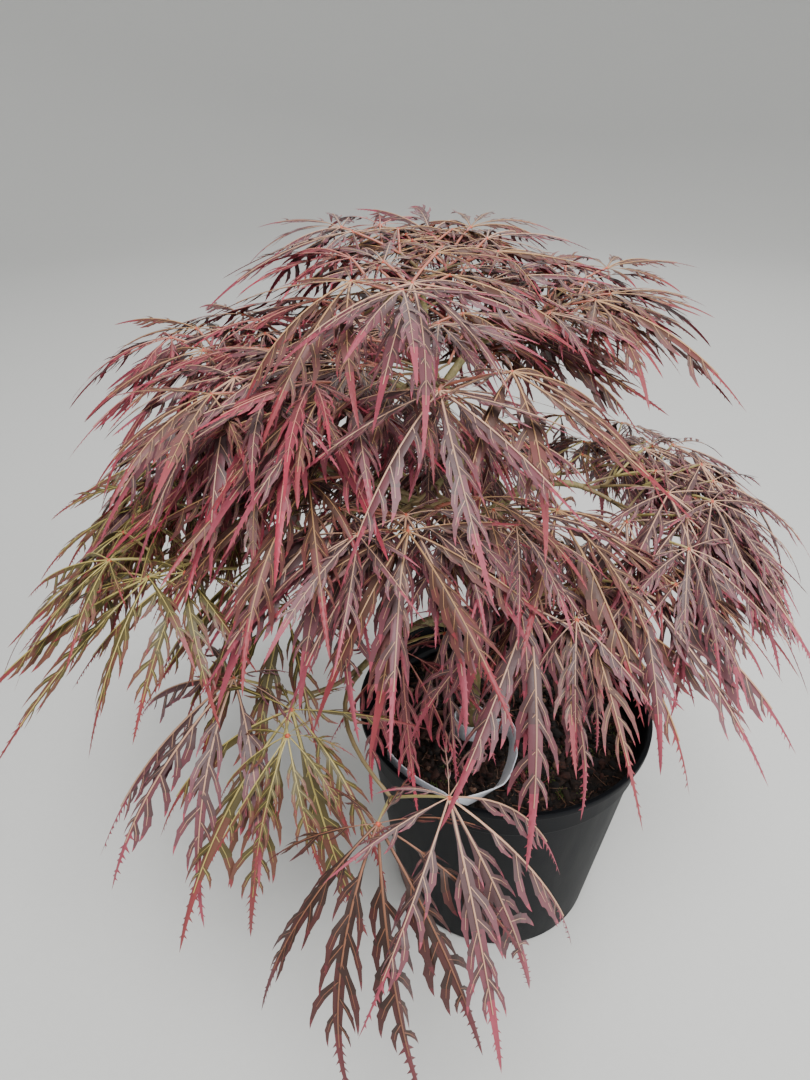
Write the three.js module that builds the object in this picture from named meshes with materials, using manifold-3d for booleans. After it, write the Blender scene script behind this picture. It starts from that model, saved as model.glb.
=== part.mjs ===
// A potted laceleaf maple: a small grafted tree with a weeping purple crown, in a black nursery pot.
// Millimetres, +Z up. The origin is the centre of the pot's flat underside.
// +X is to the right, and -Y is the front, where the label lies and the lowest leaves hang.
import * as THREE from "three";
import { mergeVertices } from "three/addons/utils/BufferGeometryUtils.js";
import Module from "manifold-3d";

const wasm = await Module();
wasm.setup();

const GAP = 0.3; // clear space between two pieces that touch
const UP = new THREE.Vector3(0, 0, 1);

// The pot: a three-litre nursery pot, moulded in black plastic, with a collar under its lip.
const POT_HEIGHT = 164;
const POT_RIM_RADIUS = 95;
const POT_LIP_DEPTH = 4;
const POT_COLLAR_HEIGHT = 20;
const POT_COLLAR_RADIUS = 91.5;
const POT_STEP = 2; // how far the collar stands out from the wall under it
const POT_BASE_RADIUS = 70;
const POT_WALL = 1.6;
const POT_FLOOR = 3;
const POT_SIDES = 40;
const POT_BEVEL = 2;
const DRAIN_HOLES = 8;
const DRAIN_HOLE_RADIUS = 4.5;
const DRAIN_CIRCLE_RADIUS = 54;
const POT_SHOULDER = POT_HEIGHT - POT_LIP_DEPTH - POT_COLLAR_HEIGHT;
const POT_WALL_TOP_RADIUS = 88.5; // the outside of the wall where it meets the collar

// The potting mix, filled to a finger's width under the rim.
const SOIL_TOP = 144;
const SOIL_EDGE = 138;
const SOIL_FLAT_RADIUS = 40;
const SOIL_SHOULDER_WIDTH = 14;

// The trunk: its centre line is a cubic curve that leans left at the top.
const TRUNK_FOOT = new THREE.Vector3(-22, -9, SOIL_TOP + GAP);
const TRUNK_RISE = new THREE.Vector3(-17, -2, 250);
const TRUNK_LEAN = new THREE.Vector3(-28, 2, 350);
const TRUNK_TIP = new THREE.Vector3(-66, 4, 418);
const TRUNK_RADIUS = 4.2;
const TRUNK_TIP_RADIUS = 2.2;
const FLARE_RADIUS = 7.5;
const FLARE_HEIGHT = 8;
const TRUNK_SIDES = 10;
const TRUNK_STEPS = 13;
const TRUNK_CROWDING = 1.35; // over 1, the rings lie closer together at the flare

// The label: a blank plastic strip. Its wide head goes round the foot of the trunk, and its
// narrower tail runs to the front and along the inside of the rim.
const LABEL_THICKNESS = 0.9;
const HEAD_WIDTH = 13;
const TAIL_WIDTH = 9.5;
const HEAD_END = 0.36; // in shares of the label's length
const TAIL_START = 0.46;
const LOOP_RADIUS = 10.5;
const LOOP_START = -5; // degrees round the trunk
const LOOP_END = 300;
const TAIL_BEND = [
  [-6, -12],
  [2, -16],
  [1, -31],
  [-4, -48],
  [-12, -64],
];
const RIM_RUN_RADIUS = 87.4;
const RIM_RUN_START = 247;
const RIM_RUN_END = 210;
const RIM_RUN_LIFT = 9; // how far the tail climbs on its way to the rim
const LABEL_STEPS = 56;
const LABEL_LEAN = 38; // degrees that the tail leans over between the loop and the rim
const LEAN_FROM = 0.34;
const LEAN_TO = 0.74;
const LEAN_EASE = 0.14;

// Headings are degrees from +X towards +Y. Reaches are measured from the middle of the crown.
const CROWN_X = -50;
const CROWN_Y = 5;
const CROWN_TOP = 430;
const CROWN_SKIRT = 250;

// Each bough leaves the trunk at a height and arches to its tip.
const BOUGH_SIDES = 5;
const BOUGH_STEPS = 5;
const BOUGH_RADIUS = 2.4;
const BOUGH_TIP_RADIUS = 1.7;
const BOUGHS = [
  { name: "top_rear", from: 395, heading: 100, reach: 35, height: 420, arch: 8 },
  { name: "top_right", from: 375, heading: 44, reach: 45, height: 394, arch: 14 },
  { name: "top_left", from: 365, heading: 176, reach: 50, height: 384, arch: 12 },
  { name: "top_front", from: 385, heading: 250, reach: 25, height: 394, arch: 4 },
  { name: "rear_upper", from: 340, heading: 90, reach: 70, height: 362, arch: 14 },
  { name: "front", from: 315, heading: 270, reach: 48, height: 345, arch: 16 },
  { name: "right", from: 295, heading: 2, reach: 85, height: 318, arch: 24 },
  { name: "left", from: 305, heading: 214, reach: 70, height: 318, arch: 24 },
  { name: "rear_left", from: 285, heading: 156, reach: 80, height: 316, arch: 24 },
  { name: "rear_right", from: 270, heading: 40, reach: 85, height: 296, arch: 24 },
  { name: "front_right", from: 260, heading: 312, reach: 62, height: 286, arch: 22 },
  { name: "rear", from: 248, heading: 104, reach: 75, height: 266, arch: 26 },
  { name: "front_low", from: 235, heading: 246, reach: 95, height: 260, arch: 26 },
  { name: "centre_low", from: 222, heading: 250, reach: 45, height: 252, arch: 12 },
];

// Each mass of foliage grows from the tip of a bough, or of the trunk, to its own end. Where two
// share a tip, they start side by side. Pairs counts its pairs of leaves, size scales them, and
// turn swings the pair at its end away from the straight way out of the crown.
const MASSES = [
  { name: "centre_low", bough: "centre_low", heading: 258, reach: 66, height: 260, turn: 40, size: 0.7 },
  { name: "front_hanging", bough: "front_low", heading: 262, reach: 155, height: 243, turn: 30, size: 1.15 },
  { name: "left_hanging", bough: "front_low", heading: 236, reach: 122, height: 256 },
  { name: "front_middle", bough: "front", heading: 254, reach: 76, height: 344, pairs: 2 },
  { name: "front_upper", bough: "top_front", heading: 246, reach: 58, height: 391, turn: -60, pairs: 2 },
  { name: "right_front", bough: "right", heading: 348, reach: 122, height: 305, pairs: 2 },
  { name: "front_right", bough: "front_right", heading: 301, reach: 92, height: 300, pairs: 2 },
  { name: "left_low", bough: "left", heading: 214, reach: 138, height: 320, turn: -25, pairs: 2 },
  { name: "left_inner", bough: "left", heading: 222, reach: 86, height: 289, turn: -20 },
  { name: "front_middle_right", bough: "front", heading: 300, reach: 64, height: 336, pairs: 2 },
  { name: "left_shoulder", bough: "top_left", heading: 202, reach: 74, height: 368, pairs: 2 },
  { name: "upper_left", bough: "top_left", heading: 168, reach: 98, height: 386, pairs: 2 },
  { name: "top_right", bough: "top_right", heading: 46, reach: 98, height: 401, pairs: 2 },
  { name: "top_centre", bough: "top_right", heading: 72, reach: 58, height: 384, pairs: 2 },
  { name: "crown_top", bough: "top_rear", heading: 82, reach: 58, height: 426, pairs: 2 },
  { name: "top_left", bough: "top_rear", heading: 134, reach: 54, height: 405, pairs: 2 },
  { name: "leader", bough: null, heading: 215, reach: 15, height: 426, turn: -125, pairs: 2 },
  { name: "right_rear", bough: "right", heading: 14, reach: 112, height: 312, pairs: 2 },
  { name: "rear_upper_left", bough: "rear_upper", heading: 112, reach: 112, height: 362, pairs: 2 },
  { name: "rear_upper_right", bough: "rear_upper", heading: 66, reach: 115, height: 356, pairs: 2 },
  { name: "rear_left", bough: "rear_left", heading: 146, reach: 125, height: 318, pairs: 2 },
  { name: "left_rear", bough: "rear_left", heading: 180, reach: 128, height: 306, pairs: 2 },
  { name: "rear_right", bough: "rear_right", heading: 36, reach: 128, height: 290, pairs: 2 },
  { name: "rear_low_left", bough: "rear", heading: 120, reach: 120, height: 262, pairs: 2 },
  { name: "rear_low_right", bough: "rear", heading: 82, reach: 120, height: 270, pairs: 2 },
];

// Shoots, side twigs and leaf stalks are three-sided.
const SHOOT_RADIUS = 1.15;
const TWIG_RADIUS = 0.9;
const STALK_RADIUS = 0.75;
const SHOOT_STEPS = 4;
const TWIG_LENGTH = 32;
const TWIG_TURN = 55; // degrees between a side twig and its shoot
const TWIG_RISE = 18;
const FIRST_TWIG = 0.45; // where along the shoot the first side twig leaves it
const NEXT_TWIG = 0.28;
const STALK_LENGTH = 28;
const STALK_SPREAD = 38; // degrees either side of the twig
const STALK_RISE = 22;
const STALK_SUNK = 2; // how far a stalk is sunk into its twig

// A leaf: long lobes that fan out from the top of the stalk and droop to thin tips. Each lobe's
// share is of the leaf's longest lobe.
const TOP_LEAF_LENGTH = 86;
const SKIRT_LEAF_LENGTH = 106;
const LOBES = [
  { angle: -100, share: 0.5 },
  { angle: -64, share: 0.78 },
  { angle: -31, share: 0.95 },
  { angle: 0, share: 1 },
  { angle: 31, share: 0.95 },
  { angle: 64, share: 0.78 },
  { angle: 100, share: 0.5 },
];
const LOBE_ROOT = { along: 0.03, halfWidth: 1, ridge: 1 };
const LOBE_RINGS = [
  { along: 0.42, halfWidth: 4.6, ridge: 1.4 },
  { along: 0.74, halfWidth: 2.8, ridge: 1.1 },
];
const HUB_THICKNESS = 2.4;
const NOTCH_REACH = 9; // the notch between two lobes, from the hub
const BLADE_SWING = 18; // degrees that a leaf turns out from its twig
const TOP_SLOPE = 8; // degrees that a leaf slopes outwards, at the crown's top and its skirt
const SKIRT_SLOPE = 42;
const TOP_BEND = 38; // degrees that a lobe droops between hub and tip
const SKIRT_BEND = 48;

// Where a leaf or a lobe finds its place taken, it tries these in turn, and is skipped at the end.
const FEWEST_LOBES = 4;
const LEAF_TRIES = [
  { lift: 0, swing: 0 },
  { lift: 12, swing: 0 },
  { lift: -12, swing: 0 },
  { lift: 6, swing: 14 },
  { lift: 6, swing: -14 },
  { lift: 26, swing: 0 },
];
const LOBE_TRIES = [
  { droop: 0, turn: 0, scale: 1 },
  { droop: 9, turn: 0, scale: 1 },
  { droop: -9, turn: 0, scale: 1 },
  { droop: 0, turn: 8, scale: 1 },
  { droop: 0, turn: -8, scale: 1 },
  { droop: 14, turn: 6, scale: 0.85 },
  { droop: -14, turn: -6, scale: 0.85 },
];
const SMOOTHING = 0.15; // slivers smaller than this are merged where stalks and twigs fuse

const BLACK_PLASTIC = { color: 0x25282c, roughness: 0.45, metalness: 0 };
const COMPOST = { color: 0x33241b, roughness: 0.95, metalness: 0 };
const WHITE_PLASTIC = { color: 0xd9dfec, roughness: 0.4, metalness: 0 };
const GREEN_BARK = { color: 0x8a7a52, roughness: 0.7, metalness: 0 };
const PURPLE_LEAF = { color: 0x7c4a4a, roughness: 0.6, metalness: 0 };

const radians = THREE.MathUtils.degToRad;
const { lerp, clamp } = THREE.MathUtils;

// A small seeded generator, so that the same plant grows every time.
function randomFrom(seed) {
  let state = seed;
  const next = () => {
    state = (Math.imul(1664525, state) + 1013904223) >>> 0;
    return state / 2 ** 32;
  };
  next();
  next();
  return (spread) => (2 * next() - 1) * spread;
}

// The unit vector of a heading that rises by some degrees.
function direction(heading, rise) {
  const flat = Math.cos(radians(rise));
  const x = flat * Math.cos(radians(heading));
  const y = flat * Math.sin(radians(heading));
  return new THREE.Vector3(x, y, Math.sin(radians(rise)));
}

function crownPoint({ heading, reach, height }) {
  const out = direction(heading, 0).multiplyScalar(reach);
  return new THREE.Vector3(CROWN_X + out.x, CROWN_Y + out.y, height);
}

function geometryOf(positions, triangles) {
  const geometry = new THREE.BufferGeometry();
  geometry.setAttribute("position", new THREE.Float32BufferAttribute(positions, 3));
  geometry.setIndex(triangles);
  return geometry;
}

// A three.js geometry as a solid that can be joined and cut.
function solidOf(geometry) {
  const bare = geometry.clone();
  bare.deleteAttribute("normal");
  bare.deleteAttribute("uv");
  const merged = mergeVertices(bare, 1e-4);
  const vertProperties = new Float32Array(merged.attributes.position.array);
  const triVerts = new Uint32Array(merged.index.array);
  return new wasm.Manifold(new wasm.Mesh({ numProp: 3, vertProperties, triVerts }));
}

function meshOf(name, solid, look) {
  const { vertProperties, triVerts } = solid.getMesh();
  const geometry = geometryOf(vertProperties, Array.from(triVerts));
  geometry.computeVertexNormals();
  const mesh = new THREE.Mesh(geometry, new THREE.MeshStandardMaterial(look));
  mesh.name = name;
  return mesh;
}

// A profile of radii and heights turned about the Z axis.
function turned(profile) {
  const points = profile.map(([radius, height]) => new THREE.Vector2(radius, height));
  return solidOf(new THREE.LatheGeometry(points, POT_SIDES).rotateX(Math.PI / 2));
}

// The inside radius of the pot's tapered wall at a height.
function wallInside(height) {
  return lerp(POT_BASE_RADIUS, POT_WALL_TOP_RADIUS, height / POT_SHOULDER) - POT_WALL;
}

function drainHole(index) {
  const turn = ((index + 0.5) * 2 * Math.PI) / DRAIN_HOLES;
  const hole = new THREE.CylinderGeometry(DRAIN_HOLE_RADIUS, DRAIN_HOLE_RADIUS, 4 * POT_FLOOR, 8);
  hole.rotateX(Math.PI / 2);
  hole.translate(DRAIN_CIRCLE_RADIUS * Math.cos(turn), DRAIN_CIRCLE_RADIUS * Math.sin(turn), 0);
  return solidOf(hole);
}

function pot() {
  const lipBottom = POT_HEIGHT - POT_LIP_DEPTH;
  const collarFoot = POT_WALL_TOP_RADIUS + POT_STEP;
  const shell = turned([
    [0, 0],
    [POT_BASE_RADIUS - POT_BEVEL, 0],
    [POT_BASE_RADIUS, POT_BEVEL],
    [POT_WALL_TOP_RADIUS, POT_SHOULDER],
    [collarFoot, POT_SHOULDER + POT_STEP],
    [POT_COLLAR_RADIUS, lipBottom],
    [POT_RIM_RADIUS, lipBottom],
    [POT_RIM_RADIUS, POT_HEIGHT - 1],
    [POT_RIM_RADIUS - 1, POT_HEIGHT],
    [POT_COLLAR_RADIUS + 0.5, POT_HEIGHT],
    [POT_COLLAR_RADIUS - POT_WALL, lipBottom - 1],
    [collarFoot - POT_WALL, POT_SHOULDER + POT_STEP + 0.5],
    [POT_WALL_TOP_RADIUS - POT_WALL, POT_SHOULDER + 0.5],
    [wallInside(POT_FLOOR), POT_FLOOR],
    [0, POT_FLOOR],
  ]);
  const holes = Array.from({ length: DRAIN_HOLES }, (_, index) => drainHole(index));
  return shell.subtract(wasm.Manifold.union(holes));
}

function pottingMix() {
  const clear = GAP + 0.1;
  return turned([
    [0, POT_FLOOR + GAP],
    [wallInside(POT_FLOOR) - clear, POT_FLOOR + GAP],
    [wallInside(SOIL_EDGE) - clear, SOIL_EDGE],
    [wallInside(SOIL_EDGE) - SOIL_SHOULDER_WIDTH, SOIL_TOP - 2],
    [SOIL_FLAT_RADIUS, SOIL_TOP],
    [0, SOIL_TOP],
  ]);
}

// The label's way over the potting mix, seen from above: loop, bend, and the run along the rim.
function labelLine() {
  const points = [];
  const add = (x, y, lift) => points.push(new THREE.Vector3(x, y, SOIL_TOP + GAP + lift));
  const loopPoints = 9;
  for (let i = 0; i <= loopPoints; i++) {
    const way = direction(lerp(LOOP_START, LOOP_END, i / loopPoints), 0);
    add(TRUNK_FOOT.x + LOOP_RADIUS * way.x, TRUNK_FOOT.y + LOOP_RADIUS * way.y, 0);
  }
  TAIL_BEND.forEach(([x, y], i) => add(x, y, (RIM_RUN_LIFT * i) / TAIL_BEND.length));
  const runPoints = 5;
  for (let i = 0; i <= runPoints; i++) {
    const way = direction(lerp(RIM_RUN_START, RIM_RUN_END, i / runPoints), 0);
    add(RIM_RUN_RADIUS * way.x, RIM_RUN_RADIUS * way.y, RIM_RUN_LIFT);
  }
  return new THREE.CatmullRomCurve3(points);
}

// The label is a band on edge along that line. It narrows from the head to the tail, and leans
// over where it bends towards the rim.
function label() {
  const line = labelLine();
  const geometry = new THREE.BoxGeometry(1, LABEL_THICKNESS, 1, LABEL_STEPS, 1, 1);
  const position = geometry.attributes.position;
  for (let i = 0; i < position.count; i++) {
    const along = position.getX(i) + 0.5;
    const centre = line.getPointAt(along);
    const tangent = line.getTangentAt(along);
    const across = new THREE.Vector3(-tangent.y, tangent.x, 0).normalize();
    const narrowing = clamp((along - HEAD_END) / (TAIL_START - HEAD_END), 0, 1);
    const width = lerp(HEAD_WIDTH, TAIL_WIDTH, narrowing);
    const easing = Math.min(along - LEAN_FROM, LEAN_TO - along) / LEAN_EASE;
    const lean = radians(LABEL_LEAN * clamp(easing, 0, 1));
    const rise = (position.getZ(i) + 0.5) * width;
    const side = position.getY(i);
    centre.addScaledVector(across, side * Math.cos(lean) + rise * Math.sin(lean));
    centre.addScaledVector(UP, rise * Math.cos(lean) - side * Math.sin(lean));
    position.setXYZ(i, centre.x, centre.y, centre.z);
  }
  return solidOf(geometry);
}

const trunkLine = new THREE.CubicBezierCurve3(TRUNK_FOOT, TRUNK_RISE, TRUNK_LEAN, TRUNK_TIP);

// The point of the trunk's centre line at a height, found by halving.
function trunkAt(height) {
  let low = 0;
  let high = 1;
  for (let i = 0; i < 30; i++) {
    const middle = (low + high) / 2;
    if (trunkLine.getPoint(middle).z < height) low = middle;
    else high = middle;
  }
  return trunkLine.getPoint(low);
}

// The trunk is round and level at every height, so it has a flat cut at the ground.
function trunk(margin) {
  const geometry = new THREE.CylinderGeometry(1, 1, 1, TRUNK_SIDES, TRUNK_STEPS);
  geometry.rotateX(Math.PI / 2);
  const position = geometry.attributes.position;
  for (let i = 0; i < position.count; i++) {
    const along = (position.getZ(i) + 0.5) ** TRUNK_CROWDING;
    const centre = trunkLine.getPoint(along);
    const flare = Math.exp((TRUNK_FOOT.z - centre.z) / FLARE_HEIGHT);
    const taper = lerp(TRUNK_RADIUS, TRUNK_TIP_RADIUS, along);
    const radius = lerp(taper, FLARE_RADIUS, flare) + margin;
    const x = centre.x + radius * position.getX(i);
    const y = centre.y + radius * position.getY(i);
    position.setXYZ(i, x, y, centre.z);
  }
  return solidOf(geometry);
}

// A tapering limb along a curve, closed at both ends.
function limb(curve, radius, tipRadius, sides, steps) {
  const geometry = new THREE.CylinderGeometry(1, 1, 1, sides, steps);
  const position = geometry.attributes.position;
  const frames = curve.computeFrenetFrames(steps, false);
  for (let i = 0; i < position.count; i++) {
    const along = position.getY(i) + 0.5;
    const ring = Math.round(along * steps);
    const size = lerp(radius, tipRadius, along);
    const centre = curve.getPointAt(ring / steps);
    centre.addScaledVector(frames.normals[ring], size * position.getX(i));
    centre.addScaledVector(frames.binormals[ring], -size * position.getZ(i));
    position.setXYZ(i, centre.x, centre.y, centre.z);
  }
  return solidOf(geometry);
}

function boughLine({ from, heading, reach, height, arch }) {
  const start = trunkAt(from);
  const end = crownPoint({ heading, reach, height });
  const middle = start.clone().lerp(end, 0.5).addScaledVector(UP, arch);
  return new THREE.QuadraticBezierCurve3(start, middle, end);
}

// A bough starts inside the trunk, which is then cut out of it with a gap.
function bough(row) {
  const whole = limb(boughLine(row), BOUGH_RADIUS, BOUGH_TIP_RADIUS, BOUGH_SIDES, BOUGH_STEPS);
  return whole.subtract(trunk(GAP));
}

// The shoot of a mass starts square to the tip that carries it, and a gap away from it.
function shootLine(mass) {
  const row = BOUGHS.find(({ name }) => name === mass.bough);
  const tip = row ? boughLine(row).getPoint(1) : TRUNK_TIP.clone();
  const tangent = row ? boughLine(row).getTangent(1) : UP;
  const end = crownPoint(mass);
  const start = tip.addScaledVector(tangent, GAP);
  const neighbour = MASSES.find((other) => other !== mass && other.bough === mass.bough);
  if (neighbour) {
    const across = new THREE.Vector3().crossVectors(UP, tangent).normalize();
    const side = Math.sign(across.dot(end) - across.dot(crownPoint(neighbour)));
    start.addScaledVector(across, side * (SHOOT_RADIUS + GAP / 2));
  }
  const middle = start.clone().addScaledVector(tangent, start.distanceTo(end) * 0.45);
  return new THREE.QuadraticBezierCurve3(start, middle, end);
}

// The twigs of a mass: first its shoot's own end, then side twigs that leave left and right in turn.
function twigsOf(mass, index) {
  const shoot = shootLine(mass);
  const twigs = [{ end: shoot.getPoint(1), heading: mass.heading + (mass.turn ?? 0) }];
  for (let pair = 1; pair < (mass.pairs ?? 1); pair++) {
    const random = randomFrom(index * 100 + pair);
    const root = shoot.getPoint(FIRST_TWIG + NEXT_TWIG * (pair - 1));
    const side = (index + pair) % 2 ? 1 : -1;
    const heading = mass.heading + side * (TWIG_TURN + random(12));
    const way = direction(heading, TWIG_RISE + random(8));
    const end = root.clone().addScaledVector(way, TWIG_LENGTH + random(6));
    twigs.push({ root, end, heading });
  }
  return twigs;
}

// A leaf's stalk and hub, and the heading, slope and bend of its blade. Leaves slope, bend and
// lengthen from the top of the crown to its skirt.
function leafOn({ end, heading }, size, side, seed, { lift, swing }) {
  const random = randomFrom(seed);
  const stalkHeading = heading + side * (STALK_SPREAD + random(10)) + swing;
  const way = direction(stalkHeading, STALK_RISE + random(8) + lift);
  const hub = end.clone().addScaledVector(way, STALK_LENGTH + random(6));
  const low = clamp((CROWN_TOP - hub.z) / (CROWN_TOP - CROWN_SKIRT), 0, 1);
  return {
    root: end.clone().addScaledVector(way, -STALK_SUNK),
    hub,
    heading: heading + side * (BLADE_SWING + random(10)),
    slope: lerp(TOP_SLOPE, SKIRT_SLOPE, low) + random(6),
    bend: lerp(TOP_BEND, SKIRT_BEND, low) + random(6),
    length: lerp(TOP_LEAF_LENGTH, SKIRT_LEAF_LENGTH, low) * size * (1 + random(0.08)),
  };
}

// A lobe is an arc that leaves the hub at the blade's slope and bends down towards its tip.
function lobeOf(leaf, { angle, share }, { droop, turn, scale }) {
  return {
    hub: leaf.hub,
    heading: leaf.heading + angle + turn,
    slope: leaf.slope * Math.cos(radians(angle)) + droop,
    bend: leaf.bend,
    length: leaf.length * share * scale,
  };
}

function lobePoint(lobe, along) {
  const start = radians(lobe.slope);
  const bend = radians(lobe.bend);
  const curl = start + bend * along;
  const out = (lobe.length * (Math.sin(curl) - Math.sin(start))) / bend;
  const drop = (lobe.length * (Math.cos(start) - Math.cos(curl))) / bend;
  return direction(lobe.heading, 0).multiplyScalar(out).addScaledVector(UP, -drop).add(lobe.hub);
}

// The right edge, the ridge and the left edge of a lobe at one of its rings.
function lobeRing(lobe, { along, halfWidth, ridge }, margin) {
  const centre = lobePoint(lobe, along);
  const across = direction(lobe.heading + 90, 0).multiplyScalar(halfWidth + margin);
  const upward = direction(lobe.heading, 90 - lobe.slope - lobe.bend * along);
  const under = centre.clone().addScaledVector(upward, -margin);
  const right = under.clone().sub(across);
  const left = under.clone().add(across);
  return [right, centre.addScaledVector(upward, ridge + margin), left];
}

function solidFrom(points, triangles) {
  return solidOf(geometryOf(points.flatMap((point) => point.toArray()), triangles));
}

// A blade is one closed star: the top and bottom of its hub, a notch before each lobe, and each
// lobe's rings and tip.
function blade(leaf, lobes) {
  const points = [1, -1].map((side) =>
    leaf.hub.clone().addScaledVector(UP, (side * HUB_THICKNESS) / 2),
  );
  const stride = 2 + 3 * LOBE_RINGS.length;
  const triangles = [];
  lobes.forEach((lobe, i) => {
    const before = lobes.at(i - 1).heading - (i ? 0 : 360);
    const angle = (before + lobe.heading) / 2 - leaf.heading;
    const notch = lobeOf(leaf, { angle, share: 1 }, LOBE_TRIES[0]);
    points.push(lobePoint(notch, NOTCH_REACH / notch.length));
    LOBE_RINGS.forEach((ring) => points.push(...lobeRing(lobe, ring, 0)));
    points.push(lobePoint(lobe, 1));
    const first = 2 + stride * i;
    const next = 2 + stride * ((i + 1) % lobes.length);
    let [right, ridge, left] = [first + 1, first + 2, first + 3];
    triangles.push(0, first, right, 0, right, ridge, 0, ridge, left, 0, left, next);
    triangles.push(1, right, first, 1, left, right, 1, next, left);
    for (let ring = 1; ring < LOBE_RINGS.length; ring++) {
      const [right2, ridge2, left2] = [right + 3, ridge + 3, left + 3];
      triangles.push(right, right2, ridge2, right, ridge2, ridge, ridge, ridge2, left2);
      triangles.push(ridge, left2, left, right, left, left2, right, left2, right2);
      [right, ridge, left] = [right2, ridge2, left2];
    }
    const tip = first + stride - 1;
    triangles.push(right, tip, ridge, ridge, tip, left, right, left, tip);
  });
  return solidFrom(points, triangles);
}

// A lobe alone, with a gap's margin all round, to try whether its place is free.
function trialLobe(lobe) {
  const points = [LOBE_ROOT, ...LOBE_RINGS].flatMap((ring) => lobeRing(lobe, ring, GAP));
  const tip = points.push(lobePoint(lobe, 1)) - 1;
  const triangles = [0, 1, 2];
  for (let ring = 0; ring < tip; ring += 3) {
    for (const [a, b] of [[ring, ring + 1], [ring + 1, ring + 2], [ring + 2, ring]]) {
      if (ring + 3 === tip) triangles.push(a, tip, b);
      else triangles.push(a, a + 3, b + 3, a, b + 3, b);
    }
  }
  return solidFrom(points, triangles);
}

function rod(start, end, radius) {
  return limb(new THREE.LineCurve3(start, end), radius, radius, 3, 1);
}

// What has grown so far. The wood of a mass is kept under its name, and all else under null. A new
// piece may touch only the wood of its own mass.
const grown = [];

function keep(solid, owner) {
  grown.push({ solid, owner, box: solid.boundingBox() });
}

function isFree(solid, owner) {
  const box = solid.boundingBox();
  const apart = (other) =>
    [0, 1, 2].some((k) => other.box.min[k] > box.max[k] || other.box.max[k] < box.min[k]);
  return grown.every(
    (other) =>
      (owner && other.owner === owner) || apart(other) || solid.intersect(other.solid).isEmpty(),
  );
}

// The lobes of a leaf that find room.
function freeLobes(leaf) {
  const tries = (lobe) => LOBE_TRIES.map((change) => lobeOf(leaf, lobe, change));
  return LOBES.map((lobe) => tries(lobe).find((lobe) => isFree(trialLobe(lobe)))).filter(Boolean);
}

// A leaf with as many lobes as it can have, or null where there is no room for one.
function fittedLeaf(name, twig, size, side, seed) {
  let best = null;
  for (const change of LEAF_TRIES) {
    const leaf = leafOn(twig, size, side, seed, change);
    if (!isFree(rod(leaf.root, leaf.hub, STALK_RADIUS + GAP), name)) continue;
    const lobes = freeLobes(leaf);
    if (lobes.length < FEWEST_LOBES || lobes.length <= (best?.lobes.length ?? 0)) continue;
    const solid = blade(leaf, lobes);
    if (isFree(solid)) best = { leaf, lobes, solid };
    if (best?.lobes.length === LOBES.length) break;
  }
  return best;
}

function growPair({ mass, index, parts, twigs, leaves }, pair) {
  const { name, size } = mass;
  const twig = twigs[pair];
  if (!twig) return;
  if (twig.root) {
    if (!isFree(rod(twig.root, twig.end, TWIG_RADIUS + GAP), name)) return;
    const solid = rod(twig.root, twig.end, TWIG_RADIUS);
    parts.push(solid);
    keep(solid, name);
  }
  for (const side of [-1, 1]) {
    const fitted = fittedLeaf(name, twig, size ?? 1, side, index * 1000 + pair * 10 + side + 5);
    if (!fitted) continue;
    const stalk = rod(fitted.leaf.root, fitted.leaf.hub, STALK_RADIUS);
    leaves.push(fitted);
    parts.push(fitted.solid, stalk);
    keep(fitted.solid, null);
    keep(stalk, name);
  }
}

// Every shoot comes before any leaf, then the pairs at their ends, then the side twigs' pairs.
function growCrown() {
  const growing = MASSES.map((mass, index) => {
    const shoot = limb(shootLine(mass), SHOOT_RADIUS, TWIG_RADIUS, 3, SHOOT_STEPS);
    keep(shoot, mass.name);
    return { mass, index, parts: [shoot], twigs: twigsOf(mass, index), leaves: [] };
  });
  const mostPairs = Math.max(...growing.map(({ twigs }) => twigs.length));
  for (let pair = 0; pair < mostPairs; pair++) growing.forEach((one) => growPair(one, pair));
  return growing;
}

const plant = new THREE.Group();
plant.add(meshOf("pot", pot(), BLACK_PLASTIC));
plant.add(meshOf("potting_mix", pottingMix(), COMPOST));
plant.add(meshOf("plant_label", label(), WHITE_PLASTIC));
plant.add(meshOf("trunk", trunk(0), GREEN_BARK));
keep(trunk(0), null);
for (const row of BOUGHS) {
  const solid = bough(row);
  keep(solid, null);
  plant.add(meshOf(`bough_${row.name}`, solid, GREEN_BARK));
}
const crown = growCrown();
for (const { mass, parts } of crown) {
  const solid = wasm.Manifold.union(parts).simplify(SMOOTHING);
  plant.add(meshOf(`foliage_${mass.name}`, solid, PURPLE_LEAF));
}

export default plant;
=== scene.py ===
"""The looks of a potted laceleaf maple: its leaves, twigs and bark, its pot, potting mix and label.

Sizes are in millimetres, as in the part's source, and become metres where a mesh is made.
"""

import math
from collections import namedtuple

import bmesh
import bpy
import numpy as np
from mathutils import Matrix, Vector, noise


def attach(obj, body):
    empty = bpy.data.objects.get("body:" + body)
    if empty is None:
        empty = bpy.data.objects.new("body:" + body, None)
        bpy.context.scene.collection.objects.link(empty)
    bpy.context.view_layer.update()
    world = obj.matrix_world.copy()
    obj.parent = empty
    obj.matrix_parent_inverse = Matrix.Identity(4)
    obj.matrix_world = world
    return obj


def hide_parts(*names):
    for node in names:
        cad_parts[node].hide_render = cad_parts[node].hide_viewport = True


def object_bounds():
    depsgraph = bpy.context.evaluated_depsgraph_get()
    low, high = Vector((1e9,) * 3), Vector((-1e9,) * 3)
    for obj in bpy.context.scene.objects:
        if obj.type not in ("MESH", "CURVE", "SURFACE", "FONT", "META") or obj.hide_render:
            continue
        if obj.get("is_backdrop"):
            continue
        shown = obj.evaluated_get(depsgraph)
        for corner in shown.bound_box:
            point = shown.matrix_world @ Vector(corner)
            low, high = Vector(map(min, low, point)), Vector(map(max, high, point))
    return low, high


MM = 0.001
UP = np.array((0.0, 0.0, 1.0))
MERGED = 1e-6  # corners of a turned shape that are closer than this, in metres, become one

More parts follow.
